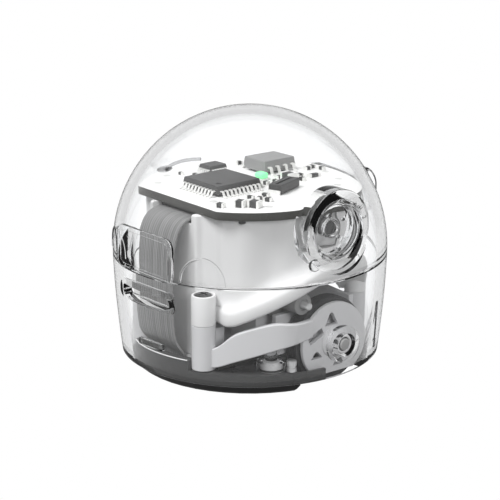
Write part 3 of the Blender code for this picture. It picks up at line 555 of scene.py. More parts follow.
def slab(name, width, height, y_low, y_high, z, corner, rim=0.0):
    """A rounded rectangle in the XZ plane with its depth along Y."""
    bm = bmesh.new()
    bmesh.ops.create_cube(bm, size=1.0)
    bmesh.ops.scale(bm, vec=(width, y_high - y_low, height), verts=bm.verts)
    long_edges = [e for e in bm.edges if abs(e.verts[0].co.y - e.verts[1].co.y) > 1e-7]
    bmesh.ops.bevel(bm, geom=long_edges, offset=corner, segments=10, affect="EDGES", profile=0.5)
    if rim:
        ends = [e for e in bm.edges if abs(e.verts[0].co.y - e.verts[1].co.y) < 1e-7]
        bmesh.ops.bevel(bm, geom=ends, offset=rim, segments=3, affect="EDGES", profile=0.5)
    bmesh.ops.translate(bm, vec=(0, (y_low + y_high) / 2, z), verts=bm.verts)
    return add(name, bm, CLEAR)


def loft(name, sections, mat, ring=False, angle=35):
    bm = bmesh.new()
    loops = [[bm.verts.new(p) for p in section] for section in sections]
    pairs = list(zip(loops, loops[1:])) + ([(loops[-1], loops[0])] if ring else [])
    for a, b in pairs:
        for i in range(len(a)):
            j = (i + 1) % len(a)
            bm.faces.new((a[i], a[j], b[j], b[i]))
    if not ring:
        bm.faces.new(reversed(loops[0]))
        bm.faces.new(loops[-1])
    return add(name, bm, mat, angle)


def tube(name, points, radius, mat, smooth_path=True):
    """A round bar along a path of points."""
    curve = bpy.data.curves.new(name, "CURVE")
    curve.dimensions = "3D"
    curve.bevel_depth = radius
    curve.bevel_resolution = 4
    curve.use_fill_caps = True
    spline = curve.splines.new("NURBS" if smooth_path else "POLY")
    spline.points.add(len(points) - 1)
    for place, point in zip(spline.points, points):
        place.co = (*point, 1)
    if smooth_path:
        spline.order_u = 3
        spline.use_endpoint_u = True
        spline.resolution_u = 8
    guide = bpy.data.objects.new(name + "_path", curve)
    bpy.context.scene.collection.objects.link(guide)
    mesh = bpy.data.meshes.new_from_object(guide.evaluated_get(bpy.context.evaluated_depsgraph_get()))
    bpy.data.objects.remove(guide, do_unlink=True)
    bm = bmesh.new()
    bm.from_mesh(mesh)
    bmesh.ops.remove_doubles(bm, verts=bm.verts, dist=1e-7)
    return add(name, bm, mat)


def polar(radius, degrees_from_front, z):
    a = radians(degrees_from_front)
    return Vector((radius * sin(a), -radius * cos(a), z))


def ease(x, points, smooth=True):
    """Piecewise value at x through (x, value) points, with level ends on each stretch if smooth."""
    if x <= points[0][0]:
        return points[0][1]
    for (x0, v0), (x1, v1) in zip(points, points[1:]):
        if x <= x1:
            t = (x - x0) / (x1 - x0)
            return v0 + (v1 - v0) * (t * t * (3 - 2 * t) if smooth else t)
    return points[-1][1]


def mount(piece, body, nodes=()):
    """Rides a piece on a body in place of CAD nodes, with face-weighted normals."""
    normals = piece.modifiers.new("Flat faces", "WEIGHTED_NORMAL")
    normals.keep_sharp = True
    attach(piece, body)
    if nodes:
        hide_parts(*nodes)
    return piece


# %% [markdown]
# ## Clear shell
# The dome is a slightly tall half ellipsoid with a one-millimetre wall. Its collars are joined to it
# and its openings are cut through. The skirt below it tapers to the base.

# %% Dome
def skirt_radius(z):
    return SHELL_R - (SHELL_R - SKIRT_BOTTOM_R) * ((WIDEST_Z - z) / (WIDEST_Z - SKIRT_BOTTOM_Z)) ** 1.6


def dome_radius(z, offset=0.0):
    height = SHELL_TOP - WIDEST_Z - offset
    return (SHELL_R - offset) * sqrt(max(0.0, 1 - ((z - WIDEST_Z) / height) ** 2))


def dome_curve(offset, count=56):
    height = SHELL_TOP - WIDEST_Z
    for i in range(count + 1):
        t = i / count * pi / 2
        radius = (SHELL_R - offset) * cos(t) if i < count else 0.0
        yield (radius, WIDEST_Z + (height - offset) * sin(t))


def clear_dome():
    low = SEAM_Z + 0.06 * MM
    profile = list(dome_curve(0.0))[::-1] + [
        (SHELL_R, low + 0.1 * MM), (SHELL_R - 0.1 * MM, low), (SHELL_R - WALL, low)] + list(dome_curve(WALL))
    dome = turned("dome_shell", profile, CLEAR, steps=160, closed=False)
    collar = turned("collar", [
        (0, 11.3 * MM), (COLLAR_R - 0.15 * MM, 11.3 * MM), (COLLAR_R, 11.45 * MM), (COLLAR_R, 13.5 * MM),
        (COLLAR_R - 0.06 * MM, 13.64 * MM), (COLLAR_R - 0.2 * MM, COLLAR_FACE_X), (0, COLLAR_FACE_X)],
        CLEAR, steps=96, closed=False, centre=(0, 0, BUTTON_Z), along="X")
    socket_collar = slab("socket_collar", 9.4 * MM, 4.8 * MM, 11.9 * MM, 13.7 * MM, SOCKET_Z, 1.6 * MM, 0.2 * MM)
    window = slab("window_frame", 9.0 * MM, 4.6 * MM, -13.9 * MM, -13.55 * MM, WINDOW_Z, 1.1 * MM, 0.08 * MM)
    face = rod("face_cut", COLLAR_R + 0.25 * MM, (COLLAR_FACE_X - 0.005 * MM, 0, BUTTON_Z), (16 * MM, 0, BUTTON_Z),
               CLEAR, segments=96)
    back = slab("back_cut", 10.4 * MM, 5.4 * MM, 13.695 * MM, 16 * MM, SOCKET_Z, 1.9 * MM)
    front = slab("front_cut", 9.7 * MM, 5.0 * MM, -16 * MM, -13.895 * MM, WINDOW_Z, 1.3 * MM)
    combine(dome, [face, back, front], "DIFFERENCE")
    arches = [arch(s * 30.5) for s in (1, -1)]
    combine(dome, [collar, socket_collar, window] + arches, "UNION")
    bore = rod("bore_cut", BUTTON_R + 0.12 * MM, (10.5 * MM, 0, BUTTON_Z), (16 * MM, 0, BUTTON_Z), CLEAR, 96)
    mouth = slab("mouth_cut", 8.0 * MM, 3.3 * MM, 11 * MM, 16 * MM, SOCKET_Z, 1.1 * MM)
    room = block("room_cut", (9 * MM, -4.4 * MM, 10 * MM), (12.38 * MM, 4.4 * MM, 13.3 * MM), CLEAR)
    recess = slab("recess_cut", 7.9 * MM, 3.6 * MM, -15 * MM, -13.78 * MM, WINDOW_Z, 0.8 * MM)
    combine(dome, [bore, mouth, room, recess], "DIFFERENCE")
    return mount(dome, "chassis", ["clear_dome"])


def arch(middle):
    """A raised half loop on the dome's rim over a screw boss."""
    points = []
    for i in range(19):
        t = pi * i / 18
        z = 12.0 * MM + 2.6 * MM * sin(t)
        swing = 2.35 * MM * cos(t)
        points.append(polar(dome_radius(z), middle + swing / SHELL_R * 57.3, z) * 0.9985)
    for point, i in zip(points, range(19)):
        point.z = 12.0 * MM + 2.6 * MM * sin(pi * i / 18)
    return tube("arch", points, 0.13 * MM, CLEAR)


def clear_skirt():
    heights = [SEAM_Z - 0.08 * MM - (SEAM_Z - 0.08 * MM - SKIRT_BOTTOM_Z - 0.08 * MM) * i / 26 for i in range(27)]
    outer = [(SHELL_R - 0.08 * MM, SEAM_Z)] + [(skirt_radius(z), z) for z in heights]
    outer += [(SKIRT_BOTTOM_R - 0.1 * MM, SKIRT_BOTTOM_Z)]
    inner = [(skirt_radius(z) - WALL, z) for z in heights[::-1][:-3]]
    profile = outer + [(SKIRT_BOTTOM_R - WALL, SKIRT_BOTTOM_Z)] + inner + [(SHELL_R - WALL, SEAM_Z)]
    skirt = turned("skirt_shell", profile, CLEAR, steps=160)
    rim = slab("slot_rim", 9.0 * MM, 2.2 * MM, -13.6 * MM, -12.75 * MM, SLOT_Z, 0.9 * MM, 0.12 * MM)
    tab = block("snap_tab", (-1.8 * MM, -13.2 * MM, 3.8 * MM), (1.8 * MM, -12.3 * MM, 4.5 * MM), CLEAR, 0.15 * MM)
    rings = [turned("ring", [
        (0, 12.45 * MM), (1.9 * MM, 12.45 * MM), (1.9 * MM, 13.7 * MM), (1.84 * MM, 13.82 * MM),
        (1.75 * MM, 13.85 * MM), (0, 13.85 * MM)], CLEAR, steps=64, closed=False,
        centre=(0, AXLE_Y, AXLE_Z), along="X" if s > 0 else "-X") for _, s in SIDES]
    combine(skirt, [rim, tab] + rings, "UNION")
    slot = slab("slot_cut", 7.6 * MM, 1.2 * MM, -16 * MM, -12 * MM, SLOT_Z, 0.55 * MM)
    holes = [rod("ring_cut", 1.2 * MM, (s * 11 * MM, AXLE_Y, AXLE_Z), (s * 16 * MM, AXLE_Y, AXLE_Z), CLEAR)
             for _, s in SIDES]
    combine(skirt, [slot] + holes, "DIFFERENCE")
    return mount(skirt, "chassis", ["clear_skirt"])


def gusset(side, s):
    """A stiffening frame moulded inside the skirt, behind the wheel."""
    angle = s * 119
    apex = polar(13.25 * MM, angle + s * 2.0, 7.4 * MM)
    inner, outer = polar(12.2 * MM, angle - s * 3.0, 2.6 * MM), polar(12.7 * MM, angle + s * 5.0, 2.2 * MM)
    # The bars use the grey-tinted clear material, whose tint paints their dark refraction outlines.
    bars = [tube("bar", [apex, inner], 0.15 * MM, CLEAR_PAINTED_DARK, False), tube("bar", [apex, outer], 0.15 * MM, CLEAR_PAINTED_DARK, False),
            tube("bar", [inner, outer.lerp(apex, 0.24)], 0.12 * MM, CLEAR_PAINTED_DARK, False)]
    knot = tube("knot", [outer, outer + Vector((0, 0, 0.9 * MM))], 0.24 * MM, CLEAR_PAINTED_DARK, False)
    mount(merge(side + "_gusset", bars + [knot]), "chassis")


def power_button():
    """A clear cap with a raised rim, a shallow dished face and a stem that meets the switch."""
    x0, r = 11.56 * MM, BUTTON_R
    face = button_high[0]
    profile = [
        (0, face - 0.52 * MM), (0.4 * MM, face - 0.52 * MM), (r - 0.75 * MM, face - 0.42 * MM),
        (r - 0.5 * MM, face - 0.3 * MM), (r - 0.36 * MM, face - 0.06 * MM), (r - 0.28 * MM, face),
        (r - 0.12 * MM, face), (r - 0.03 * MM, face - 0.05 * MM), (r, face - 0.15 * MM), (r, 12.2 * MM),
        (r - 0.08 * MM, 12.1 * MM), (r - 0.3 * MM, 12.1 * MM), (r - 0.38 * MM, 12.2 * MM), (r - 0.45 * MM, 12.5 * MM),
        (1.2 * MM, 12.55 * MM), (0.95 * MM, 12.4 * MM), (0.85 * MM, x0 + 0.12 * MM), (0.75 * MM, x0), (0, x0)]
    button = turned("button_cap", profile, CLEAR, steps=96, closed=False, centre=(0, 0, BUTTON_Z), along="X")
    pips = []
    for y, z, size in ((-0.9, -0.5, 0.22), (0.85, -1.0, 0.2), (1.5, 0.7, 0.2), (-0.4, 1.4, 0.26)):
        pips.append(turned("pip", [(0, 12.62 * MM), (size * MM, 12.62 * MM), (size * MM, 12.2 * MM),
                                   (size * 0.6 * MM, 12.1 * MM), (0, 12.1 * MM)], CLEAR, 24, False,
                           (0, y * MM, BUTTON_Z + z * MM), "X"))
    combine(button, pips, "UNION")
    return mount(button, "power_button", ["power_button"])


def board_clip():
    """The clear catch that holds the board's edge on the side away from the button."""
    # The clip's bar and drop use the grey-tinted clear material, whose tint paints their dark refraction outlines.
    bar = tube("clip_bar", [Vector(p) * MM for p in (
        (-10.35, -3.3, 18.95), (-10.8, -2.2, 19.15), (-11.05, -0.6, 19.25), (-11.05, 0.9, 19.2), (-10.95, 2.0, 19.05))],
        0.2 * MM, CLEAR_PAINTED_DARK)
    bm = bmesh.new()
    bmesh.ops.create_uvsphere(bm, u_segments=32, v_segments=16, radius=1.0)
    bmesh.ops.scale(bm, vec=(0.8 * MM, 0.95 * MM, 0.36 * MM), verts=bm.verts)
    bmesh.ops.translate(bm, vec=(-9.95 * MM, -3.75 * MM, 19.06 * MM), verts=bm.verts)
    drop = add("clip_drop", bm, CLEAR_PAINTED_DARK)
    pip = turned("collar_pip", [(0, 0.42 * MM), (0.45 * MM, 0.4 * MM), (0.62 * MM, 0.2 * MM), (0.65 * MM, 0), (0, 0)],
                 CLEAR, steps=32, closed=False)
    pip.data.transform(Matrix.Translation(polar(13.88 * MM, 77, 13.7 * MM))
                       @ polar(1, 77, 0).to_track_quat("Z", "Y").to_matrix().to_4x4())
    for piece in (bar, drop, pip):
        mount(piece, "chassis")


clear_dome()
clear_skirt()
for side, s in SIDES:
    gusset(side, s)
power_button()
board_clip()


# %% [markdown]
# ## Circuit board

# %% Board and chips
def main_board():
    bm = bmesh.new()
    rim = []
    for i in range(288):
        a = i / 288 * 2 * pi
        x, y = BOARD_R * cos(a), BOARD_R * sin(a)
        rim.append(bm.verts.new((max(board_low[0], min(board_high[0], x)), max(board_low[1], y), BOARD_UNDER)))
    face = bm.faces.new(rim)
    top = bmesh.ops.extrude_face_region(bm, geom=[face])
    bmesh.ops.translate(bm, vec=(0, 0, BOARD_TOP - BOARD_UNDER), verts=[v for v in top["geom"]
                                                                          if isinstance(v, bmesh.types.BMVert)])
    board = soften(add("board_plate", bm, BOARD), 0.04 * MM, 2)
    pads = []
    places = [(-9.6, 2.6), (-9.4, 0.9), (-3.9, 9.4), (-2.9, 8.4), (1.2, 9.6), (4.4, 8.4), (8.2, -4.4), (3.2, -7.4),
              (7.6, 3.6), (6.3, 6.4), (-6.2, -7.2), (-8.2, -4.6)]
    for x, y in places:
        pads.append(turned("pad", [(0, 0.02 * MM), (0.4 * MM, 0.02 * MM), (0.42 * MM, 0), (0, 0)], PAD, 24, False,
                           (x * MM, y * MM, BOARD_TOP)))
    mount(board, "chassis", ["main_board"])
    mount(merge("test_pads", pads), "chassis")
    nub = rod("board_nub", 0.35 * MM, polar(10.9 * MM, 46, BOARD_UNDER - 0.35 * MM), polar(10.9 * MM, 46, BOARD_UNDER),
              CHIP, 16, 0.08 * MM)
    mount(nub, "chassis")


def leads(name, centre, normal, along, count, pitch, reach, top, width):
    """A row of gull-wing leads on one side of a chip; normal points away from the chip."""
    cx, cy = centre
    bm = bmesh.new()
    thick = width * 0.4
    path = [(-0.1 * MM, top), (reach * 0.35, top), (reach * 0.6, BOARD_TOP + 0.12 * MM), (reach, BOARD_TOP + 0.08 * MM)]
    for k in range(count):
        shift = (k - (count - 1) / 2) * pitch
        loops = []
        for out, z in path:
            corners = []
            for w, t in ((-1, -1), (1, -1), (1, 1), (-1, 1)):
                u = shift + w * width / 2
                corners.append(bm.verts.new((cx + normal[0] * out + along[0] * u, cy + normal[1] * out + along[1] * u,
                                             z + t * thick / 2)))
            loops.append(corners)
        for a, b in zip(loops, loops[1:]):
            for i in range(4):
                bm.faces.new((a[i], a[(i + 1) % 4], b[(i + 1) % 4], b[i]))
        bm.faces.new(reversed(loops[0]))
        bm.faces.new(loops[-1])
    return add(name, bm, SOLDER)


def chip(name, low, high, mat, node, sides, count, pitch, reach, width, dimple=None):
    """An epoxy package with draft on its sides, standing on leads."""
    mid = (low[2] + high[2]) / 2
    base = BOARD_TOP + 0.22 * MM
    levels = [(0.10, base), (0.0, mid), (0.10, high[2] - 0.04 * MM), (0.16, high[2])]
    sections = []
    for inset, z in levels:
        a, b = inset * MM * 0.8, z
        sections.append([(low[0] + a, low[1] + a, b), (high[0] - a, low[1] + a, b), (high[0] - a, high[1] - a, b),
                         (low[0] + a, high[1] - a, b)])
    body = soften(loft(name + "_body", sections, mat), 0.05 * MM, 3)
    if dimple:
        spot = turned("dimple_cut", [(0, 0.4 * MM), (0.3 * MM, 0.4 * MM), (0.3 * MM, 0), (0, -0.08 * MM)], mat, 32, False,
                      (*dimple, high[2] - 0.05 * MM))
        combine(body, [spot], "DIFFERENCE")
    mount(body, "chassis", [node])
    cx, cy = (low[0] + high[0]) / 2, (low[1] + high[1]) / 2
    rows = []
    for side in sides:
        if side[0] == "x":
            s = 1 if side[1] == "+" else -1
            rows.append(leads("row", (high[0] if s > 0 else low[0], cy), (s, 0), (0, 1), count, pitch, reach, mid, width))
        else:
            s = 1 if side[1] == "+" else -1
            rows.append(leads("row", (cx, high[1] if s > 0 else low[1]), (0, s), (1, 0), count, pitch, reach, mid, width))
    mount(merge(name + "_leads", rows), "chassis")


def small_parts():
    """Capacitors and resistors: a dark body between two bright ends."""
    spots = [
        (-5.8, -2.6, 0, 0.9, 0.5), (5.3, -8.2, 20, 0.9, 0.6), (6.4, -6.6, 25, 1.1, 0.9), (6.2, -5.0, 20, 0.9, 0.5),
        (7.4, -5.6, 20, 1.3, 0.9), (4.7, -3.9, 20, 0.8, 0.45), (5.6, -3.5, 110, 0.8, 0.45), (6.6, -3.2, 20, 0.9, 0.5),
        (5.1, -2.3, 20, 0.9, 0.5), (1.5, 0.9, 0, 0.8, 0.5), (2.4, 1.2, 90, 0.8, 0.5), (1.6, 2.1, 0, 0.8, 0.5),
        (0.6, 3.5, 90, 0.9, 0.5), (1.7, 3.8, 0, 1.5, 1.1), (0.3, 5.2, 0, 0.8, 0.5), (1.2, 5.8, 90, 0.8, 0.5),
        (2.6, 4.9, 0, 0.9, 0.5), (2.2, 6.9, 90, 1.6, 0.5), (-0.6, 8.6, 90, 0.8, 0.5), (-0.9, 9.5, 90, 0.8, 0.5),
        (0.3, 9.9, 0, 0.8, 0.5), (-7.2, 4.4, 90, 0.8, 0.5), (-7.6, -3.2, 0, 0.7, 0.4)]
    bodies, ends = [], []
    for x, y, turn, length, width in spots:
        half, side, high = length / 2 * MM, width / 2 * MM, width * 0.8 * MM
        centre = Matrix.Translation((x * MM, y * MM, BOARD_TOP)) @ Matrix.Rotation(radians(turn), 4, "Z")
        body = block("cap_body", (-half * 0.6, -side * 0.94, 0), (half * 0.6, side * 0.94, high * 0.94), CHIP, 0.03 * MM, 2)
        body.data.transform(centre)
        bodies.append(body)
        for s in (-1, 1):
            low, top = sorted((s * half * 0.58, s * half))
            end = block("cap_end", (low, -side, 0), (top, side, high), SOLDER, 0.04 * MM, 2)
            end.data.transform(centre)
            ends.append(end)
    mount(merge("small_part_bodies", bodies), "chassis")
    mount(merge("small_part_ends", ends), "chassis")


def side_connector():
    low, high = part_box("side_connector")
    centre = Vector(((low[0] + high[0]) / 2, (low[1] + high[1]) / 2, 0))
    length, width, top = 3.9 * MM, 1.5 * MM, high[2]
    pieces = [block("connector_body", (-width / 2, -length / 2, BOARD_TOP + 0.06 * MM), (width / 2, length / 2, top), CHIP,
                    0.12 * MM)]
    groove = block("groove_cut", (-0.18 * MM, -length * 0.4, top - 0.12 * MM), (0.18 * MM, length * 0.4, top + MM), CHIP)
    combine(pieces[0], [groove], "DIFFERENCE")
    for s in (-1, 1):
        pieces.append(block("connector_end", (-width / 2 + 0.1 * MM, s * length / 2 - 0.15 * MM, BOARD_TOP),
                            (width / 2 - 0.1 * MM, s * length / 2 + 0.15 * MM, BOARD_TOP + 0.45 * MM), SOLDER, 0.05 * MM))
    connector = merge("long_connector", pieces)
    connector.data.transform(Matrix.Translation(centre) @ Matrix.Rotation(radians(20), 4, "Z"))
    mount(connector, "chassis", ["side_connector"])


def status_led():
    base = block("led_base", (led_low[0], led_low[1], BOARD_TOP), (led_high[0], led_high[1], BOARD_TOP + 0.22 * MM), PAD,
                 0.04 * MM)
    lens = block("led_lens", (led_low[0] + 0.1 * MM, led_low[1] + 0.1 * MM, BOARD_TOP + 0.2 * MM),
                 (led_high[0] - 0.1 * MM, led_high[1] - 0.1 * MM, led_high[2]), LED, 0.22 * MM, 5)
    mount(base, "chassis")
    mount(lens, "chassis", ["status_led"])


main_board()
chip("microcontroller", chip_low, chip_high, CHIP, "microcontroller", ("x+", "x-", "y+", "y-"), 10,
     0.52 * MM, 0.85 * MM, 0.27 * MM, dimple=(chip_high[0] - 0.9 * MM, chip_low[1] + 0.9 * MM))
chip("driver", driver_low, driver_high, SILVER_CHIP, "driver_chip", ("x+", "x-"), 4,
     1.05 * MM, 0.95 * MM, 0.36 * MM)
chip("memory", memory_low, memory_high, CHIP, "memory_chip", ("x+", "y-", "x-"), 6,
     0.34 * MM, 0.5 * MM, 0.2 * MM)
small_parts()
side_connector()
status_led()


# %% Flex cable, socket, switch, battery
def flex_cable():
    """A flat film that leaves the board's front edge, bows out and drops into the base."""
    centre = [(-8.95, 17.3), (-9.9, 17.25), (-10.7, 16.95), (-11.3, 16.3), (-11.75, 15.2), (-12.1, 13.6),
              (-12.25, 12.0), (-12.25, 10.0), (-12.2, 8.0), (-12.05, 6.2), (-11.8, 4.9), (-11.2, 3.95),
              (-10.8, 3.35), (-10.75, 2.65)]
    fine = []
    for i in range(len(centre) - 1):
        p = [Vector(centre[min(max(i + k, 0), len(centre) - 1)]) for k in (-1, 0, 1, 2)]
        for step in range(6):
            t = step / 6
            fine.append(0.5 * (2 * p[1] + (p[2] - p[0]) * t + (2 * p[0] - 5 * p[1] + 4 * p[2] - p[3]) * t * t
                               + (3 * p[1] - p[0] - 3 * p[2] + p[3]) * t ** 3))
    fine.append(Vector(centre[-1]))
    sections = []
    for i, p in enumerate(fine):
        along = (fine[min(i + 1, len(fine) - 1)] - fine[max(i - 1, 0)]).normalized() * 0.1
        ny, nz = along.y, -along.x
        corners = []
        for k in range(15):
            x = 2.8 - 5.6 * k / 14
            corners.append((x * MM, (p.x + ny) * MM, (p.y + nz) * MM))
        for k in range(15):
            x = -2.8 + 5.6 * k / 14
            corners.append((x * MM, (p.x - ny) * MM, (p.y - nz) * MM))
        sections.append(corners)
    mount(loft("flex_film", sections, FLEX), "chassis", ["flex_cable"])
    low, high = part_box("flex_connector")
    shell = block("film_connector", low, high, CHIP, 0.1 * MM)
    mount(shell, "chassis", ["flex_connector"])


def usb_socket():
    low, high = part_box("usb_socket")
    width, height = high[0] - low[0], high[2] - low[2]
    z = (low[2] + high[2]) / 2
    shell = slab("socket_shell", width, height, low[1], high[1], z, 0.9 * MM, 0.08 * MM)
    shell.data.materials[0] = STEEL
    mouth = slab("socket_cut", width - 0.6 * MM, height - 0.6 * MM, low[1] + 0.6 * MM, high[1] + MM, z, 0.7 * MM)
    combine(shell, [mouth], "DIFFERENCE")
    mount(shell, "chassis", ["usb_socket"])
    t_low, t_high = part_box("usb_tongue")
    tongue = [block("tongue", t_low, t_high, CHIP, 0.1 * MM)]
    for k in range(5):
        x = (k - 2) * 0.8 * MM
        tongue.append(block("contact", (x - 0.15 * MM, t_low[1] + 0.3 * MM, t_low[2] - 0.03 * MM),
                            (x + 0.15 * MM, t_high[1] - 0.3 * MM, t_low[2] + 0.03 * MM), SOLDER))
    mount(merge("socket_tongue", tongue), "chassis", ["usb_tongue"])


def power_switch():
    low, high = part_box("power_switch")
    body = block("switch_body", low, (high[0] - 0.25 * MM, high[1], high[2]), CHIP, 0.12 * MM)
    cover = block("switch_cover", (high[0] - 0.3 * MM, low[1] + 0.1 * MM, low[2] + 0.1 * MM),
                  (high[0], high[1] - 0.1 * MM, high[2] - 0.1 * MM), STEEL, 0.08 * MM)
    hole = rod("switch_cut", 1.05 * MM, (high[0] - 0.6 * MM, 0, BUTTON_Z), (high[0] + MM, 0, BUTTON_Z), STEEL, 40)
    combine(cover, [hole], "DIFFERENCE")
    mount(body, "chassis", ["power_switch"])
    mount(cover, "chassis")
    p_low, p_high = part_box("switch_plunger")
    plunger = rod("plunger", (p_high[2] - p_low[2]) / 2, (p_low[0], 0, BUTTON_Z), (p_high[0], 0, BUTTON_Z), CHIP, 40,
                  0.15 * MM)
    mount(plunger, "power_button", ["switch_plunger"])


def battery():
    low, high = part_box("battery")
    pouch = block("pouch", low, high, POUCH, 0.6 * MM, 6)
    seam = block("pouch_seam", (low[0] + 0.4 * MM, low[1] + 0.05 * MM, high[2] - 1.0 * MM),
                 (high[0] - 0.4 * MM, low[1] + 0.9 * MM, high[2] - 0.7 * MM), POUCH, 0.1 * MM)
    mount(merge("battery_pouch", [pouch, seam]), "chassis", ["battery"])


flex_cable()
usb_socket()
power_switch()
battery()


# %% [markdown]
# ## Chassis
# The upper moulding is one wall swept round the robot. Its thick lower lip dips at the front and
# arches over each wheel.

# %% Upper chassis
LIP_HEIGHT = [(0, 2.75), (17, 2.75), (17.6, 7.07), (39, 7.07), (43, 7.2), (47, 7.6), (78, 10.4), (84, 10.9),
              (90, 11.0), (120, 10.7), (134, 8.9), (146, 7.1), (180, 7.1)]
BODY_RADIUS = [(0, 10.4), (16, 10.5), (20, 10.6), (23, 10.2), (30, 10.2), (36, 10.6), (46, 10.9), (62, 10.3),
               (72, 10.6), (90, 10.5), (110, 10.6), (134, 10.4), (150, 10.7), (180, 10.3)]
LIP_RADIUS = [(0, 10.45), (17, 10.8), (31, 10.6), (40, 12.0), (50, 12.3), (140, 12.3), (150, 11.4), (160, 10.8),
              (180, 10.5)]


def upper_chassis():
    sections = []
    top = BOARD_UNDER - 0.06 * MM
    for i in range(360):
        angle = i if i <= 180 else i - 360
        a = abs(angle)
        low = MM * ease(a, LIP_HEIGHT, smooth=False)
        body = MM * ease(a, BODY_RADIUS)
        lip = MM * ease(a, LIP_RADIUS)
        step = (1.7 if a > 17.2 else 0.5) * MM
        inner = min(body, 10.5 * MM) - 1.0 * MM
        rise = max(0.0, lip - body)
        ring = [(inner, low), (lip - 0.35 * MM, low)]
        ring += [(lip - 0.35 * MM + 0.35 * MM * sin(t), low + 0.35 * MM - 0.35 * MM * cos(t)) for t in (0.5, 1.05, 1.57)]
        ring += [(lip, low + step - 0.45 * MM), (lip - min(rise, 0.12 * MM), low + step - 0.15 * MM),
                 (lip - min(rise, 0.4 * MM), low + step), (body + rise * 0.35, low + step + 0.12 * MM),
                 (body + rise * 0.12, low + step + 0.4 * MM), (body + rise * 0.02, low + step + 0.9 * MM),
                 (body, low + step + 1.4 * MM), (body, top - 0.15 * MM), (body - 0.15 * MM, top), (inner, top)]
        sections.append([polar(r, angle, z) for r, z in ring])
    chassis = loft("upper_moulding", sections, WHITE, ring=True, angle=50)
    switch = block("switch_notch", (8.3 * MM, -2.5 * MM, 13.8 * MM), (12.9 * MM, 2.5 * MM, 19 * MM), WHITE)
    socket = block("socket_notch", (-4.0 * MM, 8.0 * MM, 14.7 * MM), (4.0 * MM, 12 * MM, 19 * MM), WHITE)
    flex = block("flex_notch", (-3.1 * MM, -12 * MM, 16.9 * MM), (3.1 * MM, -8.0 * MM, 19 * MM), WHITE)
    combine(chassis, [switch, socket, flex], "DIFFERENCE", 50)
    tubes = [chassis]
    for name, x, y in BOSSES:
        tubes.append(turned(name + "_tube", [
            (BOSS_R, BOSS_JOINT_Z + 0.06 * MM), (BOSS_R, BOSS_TOP - 0.12 * MM), (BOSS_R - 0.04 * MM, BOSS_TOP - 0.03 * MM),
            (BOSS_R - 0.12 * MM, BOSS_TOP), (0.98 * MM, BOSS_TOP), (0.95 * MM, BOSS_TOP - 0.05 * MM), (0.95 * MM, 9.5 * MM),
            (0.55 * MM, 9.5 * MM), (0.55 * MM, BOSS_JOINT_Z + 0.06 * MM)], WHITE, 64, True, (x, y, 0)))
    mount(merge("upper_moulding", tubes), "chassis", ["upper_chassis"])


def screws():
    for name, x, y in BOSSES:
        screw = turned(name + "_fastener", [
            (0, 10.2 * MM), (0.55 * MM, 10.2 * MM), (0.78 * MM, 10.1 * MM), (0.88 * MM, 9.92 * MM), (0.88 * MM, 9.56 * MM),
            (0.42 * MM, 9.56 * MM), (0.42 * MM, 4.4 * MM), (0, 4.1 * MM)], DARK_STEEL, 48, False, (x, y, 0))
        recesses = [block("recess", (x - a * MM, y - b * MM, 9.8 * MM), (x + a * MM, y + b * MM, 11 * MM), DARK_STEEL)
                    for a, b in ((0.55, 0.13), (0.13, 0.55))]
        combine(screw, recesses, "DIFFERENCE")
        mount(screw, "chassis", [name + "_screw"])


upper_chassis()
screws()


# %% Lower chassis
def rounded_section(centre, across, half, low, high, corner=0.16 * MM):
    """An upright rounded rectangle across a path, as a loop of points."""
    loop = []
    for (sx, z), start in (((1, low), -90), ((1, high), 0), ((-1, high), 90), ((-1, low), 180)):
        zc = z + corner if z == low else z - corner
        for step in range(4):
            a = radians(start + 30 * step)
            u = sx * (half - corner) + corner * cos(a)
            loop.append((centre[0] + across[0] * u, centre[1] + across[1] * u, zc + corner * sin(a)))
    return loop


def arm(side, s):
    route = [(5.2, -9.9, 2.42, 4.3), (6.6, -9.5, 2.8, 5.0), (8.0, -8.6, 3.5, 6.4), (9.5, -7.1, 4.2, 7.2),
             (10.65, -5.7, 4.8, 7.6), (11.25, -4.6, 5.1, 7.5), (11.42, -3.4, 5.3, 7.35), (11.38, -1.8, 5.5, 7.4)]
    fine = []
    for i in range(len(route) - 1):
        p = [Vector(route[min(max(i + k, 0), len(route) - 1)]) for k in (-1, 0, 1, 2)]
        for step in range(5):
            t = step / 5
            fine.append(0.5 * (2 * p[1] + (p[2] - p[0]) * t + (2 * p[0] - 5 * p[1] + 4 * p[2] - p[3]) * t * t
                               + (3 * p[1] - p[0] - 3 * p[2] + p[3]) * t ** 3))
    fine.append(Vector(route[-1]))
    sections = []
    for i, p in enumerate(fine):
        ahead = fine[min(i + 1, len(fine) - 1)] - fine[max(i - 1, 0)]
        length = sqrt(ahead[0] ** 2 + ahead[1] ** 2)
        across = (s * ahead[1] / length, -ahead[0] / length)
        sections.append(rounded_section((s * p[0] * MM, p[1] * MM), across, 0.36 * MM, p[2] * MM, p[3] * MM))
    return loft(side + "_arm_bar", sections, GREY, angle=50)


